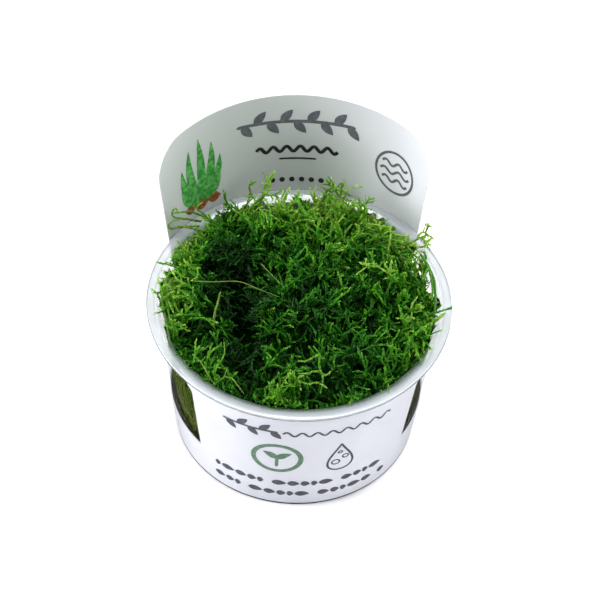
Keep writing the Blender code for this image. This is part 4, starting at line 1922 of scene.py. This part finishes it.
# Strands that stand out: points in millimetres, tone, paleness, width and leaf size
STRAYS = {
    "moss_tuft_left": (
        ([(-32.0, 0.0, 57.5), (-25.8, -1.4, 59.0), (-18.0, -1.7, 60.0), (-12.5, -4.0, 60.0),
          (-6.1, -6.4, 59.5)], 0.8, 0.7, 0.32, 0.25),
        ([(-38.6, 7.0, 53.0), (-39.6, 1.0, 54.0), (-39.8, -5.0, 54.2), (-38.4, -12.5, 54.2),
          (-36.7, -20.0, 53.6)], 0.42, 0.4, 1.1, 0.7),
        ([(-37.6, 3.0, 54.5), (-38.6, -2.0, 55.2), (-38.2, -8.0, 55.4), (-36.9, -14.5, 55.0)],
         0.55, 0.3, 0.9, 0.8),
        ([(-24.5, -12.5, 53.0), (-24.3, -11.5, 57.0), (-23.4, -9.5, 60.0), (-23.0, -8.4, 62.0)],
         0.9, 0.5, 0.85, 0.9),
        ([(-22.8, -34.0, 50.5), (-22.9, -31.0, 54.6), (-20.8, -27.5, 57.0), (-20.9, -24.0, 59.0)],
         0.85, 0.4, 0.5, 0.6),
        ([(-22.7, -33.6, 52.0), (-20.6, -33.2, 54.0), (-19.6, -31.4, 56.4)], 0.85, 0.4, 0.45, 0.6),
        ([(-22.9, -33.8, 51.5), (-25.0, -32.0, 53.8), (-27.2, -28.4, 54.6), (-29.4, -26.6, 55.4)],
         0.8, 0.35, 0.45, 0.7),
    ),
    "moss_tuft_front_left": (
        ([(-20.6, -32.0, 53.0), (-18.2, -33.6, 54.4), (-16.4, -35.4, 53.6), (-14.8, -36.4, 51.8)],
         0.8, 0.4, 0.45, 0.6),
        ([(0.8, -32.6, 56.6), (3.0, -33.2, 57.6), (5.6, -32.4, 57.8), (8.4, -32.8, 57.0),
          (9.6, -31.4, 56.6)], 0.85, 0.12, 0.5, 0.9),
        ([(1.6, -35.0, 55.8), (3.6, -36.2, 56.6), (6.0, -35.6, 56.6), (8.4, -36.2, 55.8)],
         0.85, 0.12, 0.5, 0.9),
        ([(0.4, -28.6, 57.4), (2.6, -29.2, 58.2), (5.2, -27.6, 58.6), (7.6, -27.4, 58.0)],
         0.8, 0.1, 0.5, 0.9),
        ([(4.6, -22.0, 56.5), (6.4, -26.6, 58.4), (6.4, -30.6, 58.2), (7.6, -34.0, 57.0),
          (7.2, -37.2, 54.0)], 0.65, 0.05, 0.6, 0.9),
    ),
    "moss_tuft_right": (
        ([(37.6, 14.0, 53.4), (39.4, 8.0, 53.8), (39.9, 1.0, 53.9), (39.5, -6.0, 53.7),
          (38.2, -12.0, 53.2)], 0.5, 0.1, 1.1, 0.8),
        ([(35.6, 18.0, 53.8), (37.9, 12.0, 54.6), (38.9, 5.0, 54.8), (39.0, 0.0, 54.6)],
         0.6, 0.1, 1.0, 0.9),
    ),
    "moss_tuft_centre": (
        ([(-11.7, 6.1, 59.5), (-8.9, 1.7, 60.5), (-5.9, -1.5, 60.0)], 0.75, 0.75, 0.3, 0.25),
    ),
    "moss_tuft_back_left": (
        ([(-30.5, 25.0, 56.5), (-35.0, 22.5, 60.0), (-38.0, 20.5, 62.5), (-38.8, 20.0, 64.6),
          (-37.8, 20.3, 66.4), (-36.9, 20.1, 64.8)], 0.85, 0.3, 0.85, 0.7),
        ([(-31.0, 24.0, 55.5), (-36.0, 21.0, 58.0), (-39.0, 19.0, 59.2), (-39.8, 18.5, 60.8),
          (-38.5, 19.5, 62.0), (-36.8, 20.6, 61.2)], 0.85, 0.3, 0.9, 0.7),
        ([(-29.0, 22.5, 54.5), (-33.0, 20.5, 58.0), (-36.6, 19.0, 60.2)], 0.8, 0.2, 0.8, 0.8),
        ([(-29.5, 26.0, 57.5), (-33.5, 24.0, 61.5), (-36.5, 22.0, 63.2), (-38.4, 20.6, 64.0)],
         0.8, 0.2, 0.8, 0.8),
        ([(-27.0, 25.0, 55.0), (-29.5, 24.5, 60.0), (-31.5, 23.5, 63.4), (-30.4, 24.2, 65.4)],
         0.8, 0.1, 0.7, 0.9),
    ),
    "moss_tuft_back_right": (
        ([(1.2, 25.0, 46.0), (2.8, 27.0, 52.0), (4.0, 29.2, 57.0), (4.9, 30.6, 60.5)],
         0.45, 0.55, 1.3, 0.25),
        ([(4.6, 30.6, 59.5), (6.5, 32.0, 64.0), (8.5, 32.5, 66.5), (7.7, 33.0, 68.4), (6.9, 33.0, 69.8)],
         0.75, 0.25, 0.75, 0.9),
        ([(5.3, 31.4, 61.5), (9.0, 32.0, 64.8), (12.0, 32.0, 64.6), (14.0, 32.0, 63.0)],
         0.7, 0.2, 0.7, 0.9),
        ([(5.6, 31.5, 62.5), (6.6, 31.8, 65.0), (5.0, 32.0, 66.2)], 0.75, 0.3, 0.6, 0.8),
        ([(9.0, 32.0, 65.0), (10.8, 32.5, 67.8)], 0.75, 0.3, 0.6, 0.8),
    ),
}


@dataclass
class Studio:
    """The floor, the soft lights and the camera at the photograph's angle.

    Each softbox has a name, its middle and side in metres, and its power in watts.
    """

    focal_px: float = 2400.0
    elevation: float = math.radians(48.65)
    distance: float = 0.70686
    roll: float = math.radians(2.6)
    aim: tuple = (0.18 * MM, 0.51 * MM, 50.65 * MM)
    sensor: float = 36.0
    floor_side: float = 6.0
    room_strength: float = 0.3
    lit_point: tuple = (0.0, 0.0, 0.04)
    softboxes: tuple = (
        ("softbox_over", (0.04, 0.05, 0.95), 0.7, 7.9),
        ("softbox_left", (-0.95, -0.1, 0.5), 0.6, 15.0),
        ("softbox_right", (0.95, -0.15, 0.5), 0.6, 7.0),
        ("softbox_behind", (0.75, 0.65, 0.35), 0.4, 7.0),
    )

    def camera(self) -> None:
        """Place the long-lens camera."""
        data = bpy.data.cameras.new("camera")
        data.sensor_width = self.sensor
        data.lens = self.focal_px / IMAGE_SIDE * self.sensor
        data.clip_start = 0.01
        data.clip_end = 50.0
        item = bpy.data.objects.new("camera", data)
        bpy.context.scene.collection.objects.link(item)
        back = Vector((0.0, -math.cos(self.elevation), math.sin(self.elevation)))
        aim = Vector(self.aim)
        turn = (-back).to_track_quat("-Z", "Y").to_matrix() @ Matrix.Rotation(self.roll, 3, "Z")
        item.matrix_world = Matrix.Translation(aim + back * self.distance) @ turn.to_4x4()
        bpy.context.scene.camera = item

    def area_light(self, name: str, place: Vector, size: float, power: float) -> None:
        """Hang a square softbox that faces the cup.

        Args:
            name: The lamp's name.
            place: Its middle, in metres.
            size: The softbox's side.
            power: Its power in watts.
        """
        data = bpy.data.lights.new(name, "AREA")
        data.energy = power
        data.size = size
        item = bpy.data.objects.new(name, data)
        bpy.context.scene.collection.objects.link(item)
        item.location = place
        item.rotation_mode = "QUATERNION"
        item.rotation_quaternion = (Vector(self.lit_point) - place).to_track_quat("-Z", "Y")

    def floor(self) -> None:
        """Lay the white floor, kept out of glossy reflections so that clear edges stay dark."""
        sheet = bmesh.new()
        bmesh.ops.create_grid(sheet, x_segments=1, y_segments=1, size=0.5 * self.floor_side)
        mesh = bpy.data.meshes.new("studio_floor")
        sheet.to_mesh(mesh)
        sheet.free()
        mesh.materials.append(StudioFloor().make())
        item = bpy.data.objects.new("studio_floor", mesh)
        item.visible_glossy = False
        bpy.context.scene.collection.objects.link(item)

    def surroundings(self) -> None:
        """Make the room: soft grey light from above, dark below the floor."""
        world = bpy.data.worlds.new("studio")
        world.use_nodes = True
        tree = world.node_tree
        place = add_node(tree, "ShaderNodeTexCoord").outputs["Generated"]
        parts = add_node(tree, "ShaderNodeSeparateXYZ", links={0: place})
        shade = add_ramp(tree, parts.outputs["Z"], [(0.0, "#0E0F10"), (0.12, "#C9CED6"), (1.0, "#F4F6FA")])
        back = tree.nodes["Background"]
        tree.links.new(shade, back.inputs["Color"])
        back.inputs["Strength"].default_value = self.room_strength
        bpy.context.scene.world = world

    def build(self) -> None:
        """Set up floor, lights, surroundings and camera."""
        self.floor()
        self.camera()
        self.surroundings()
        for name, place, size, power in self.softboxes:
            self.area_light(name, Vector(place), size, power)
        scene = bpy.context.scene
        scene.view_settings.view_transform = "Standard"
        scene.view_settings.look = "None"


def main() -> None:
    """Build the cup, the card, its print, the moss and the studio, in that order."""
    logging.basicConfig(level=logging.INFO, format="%(message)s")
    cup = Cup()
    cup.build()
    card = Card(cup)
    card.build()
    Print(card).build()
    MossCushion(cup, card).build()
    Studio().build()


if __name__ == "__main__":
    main()
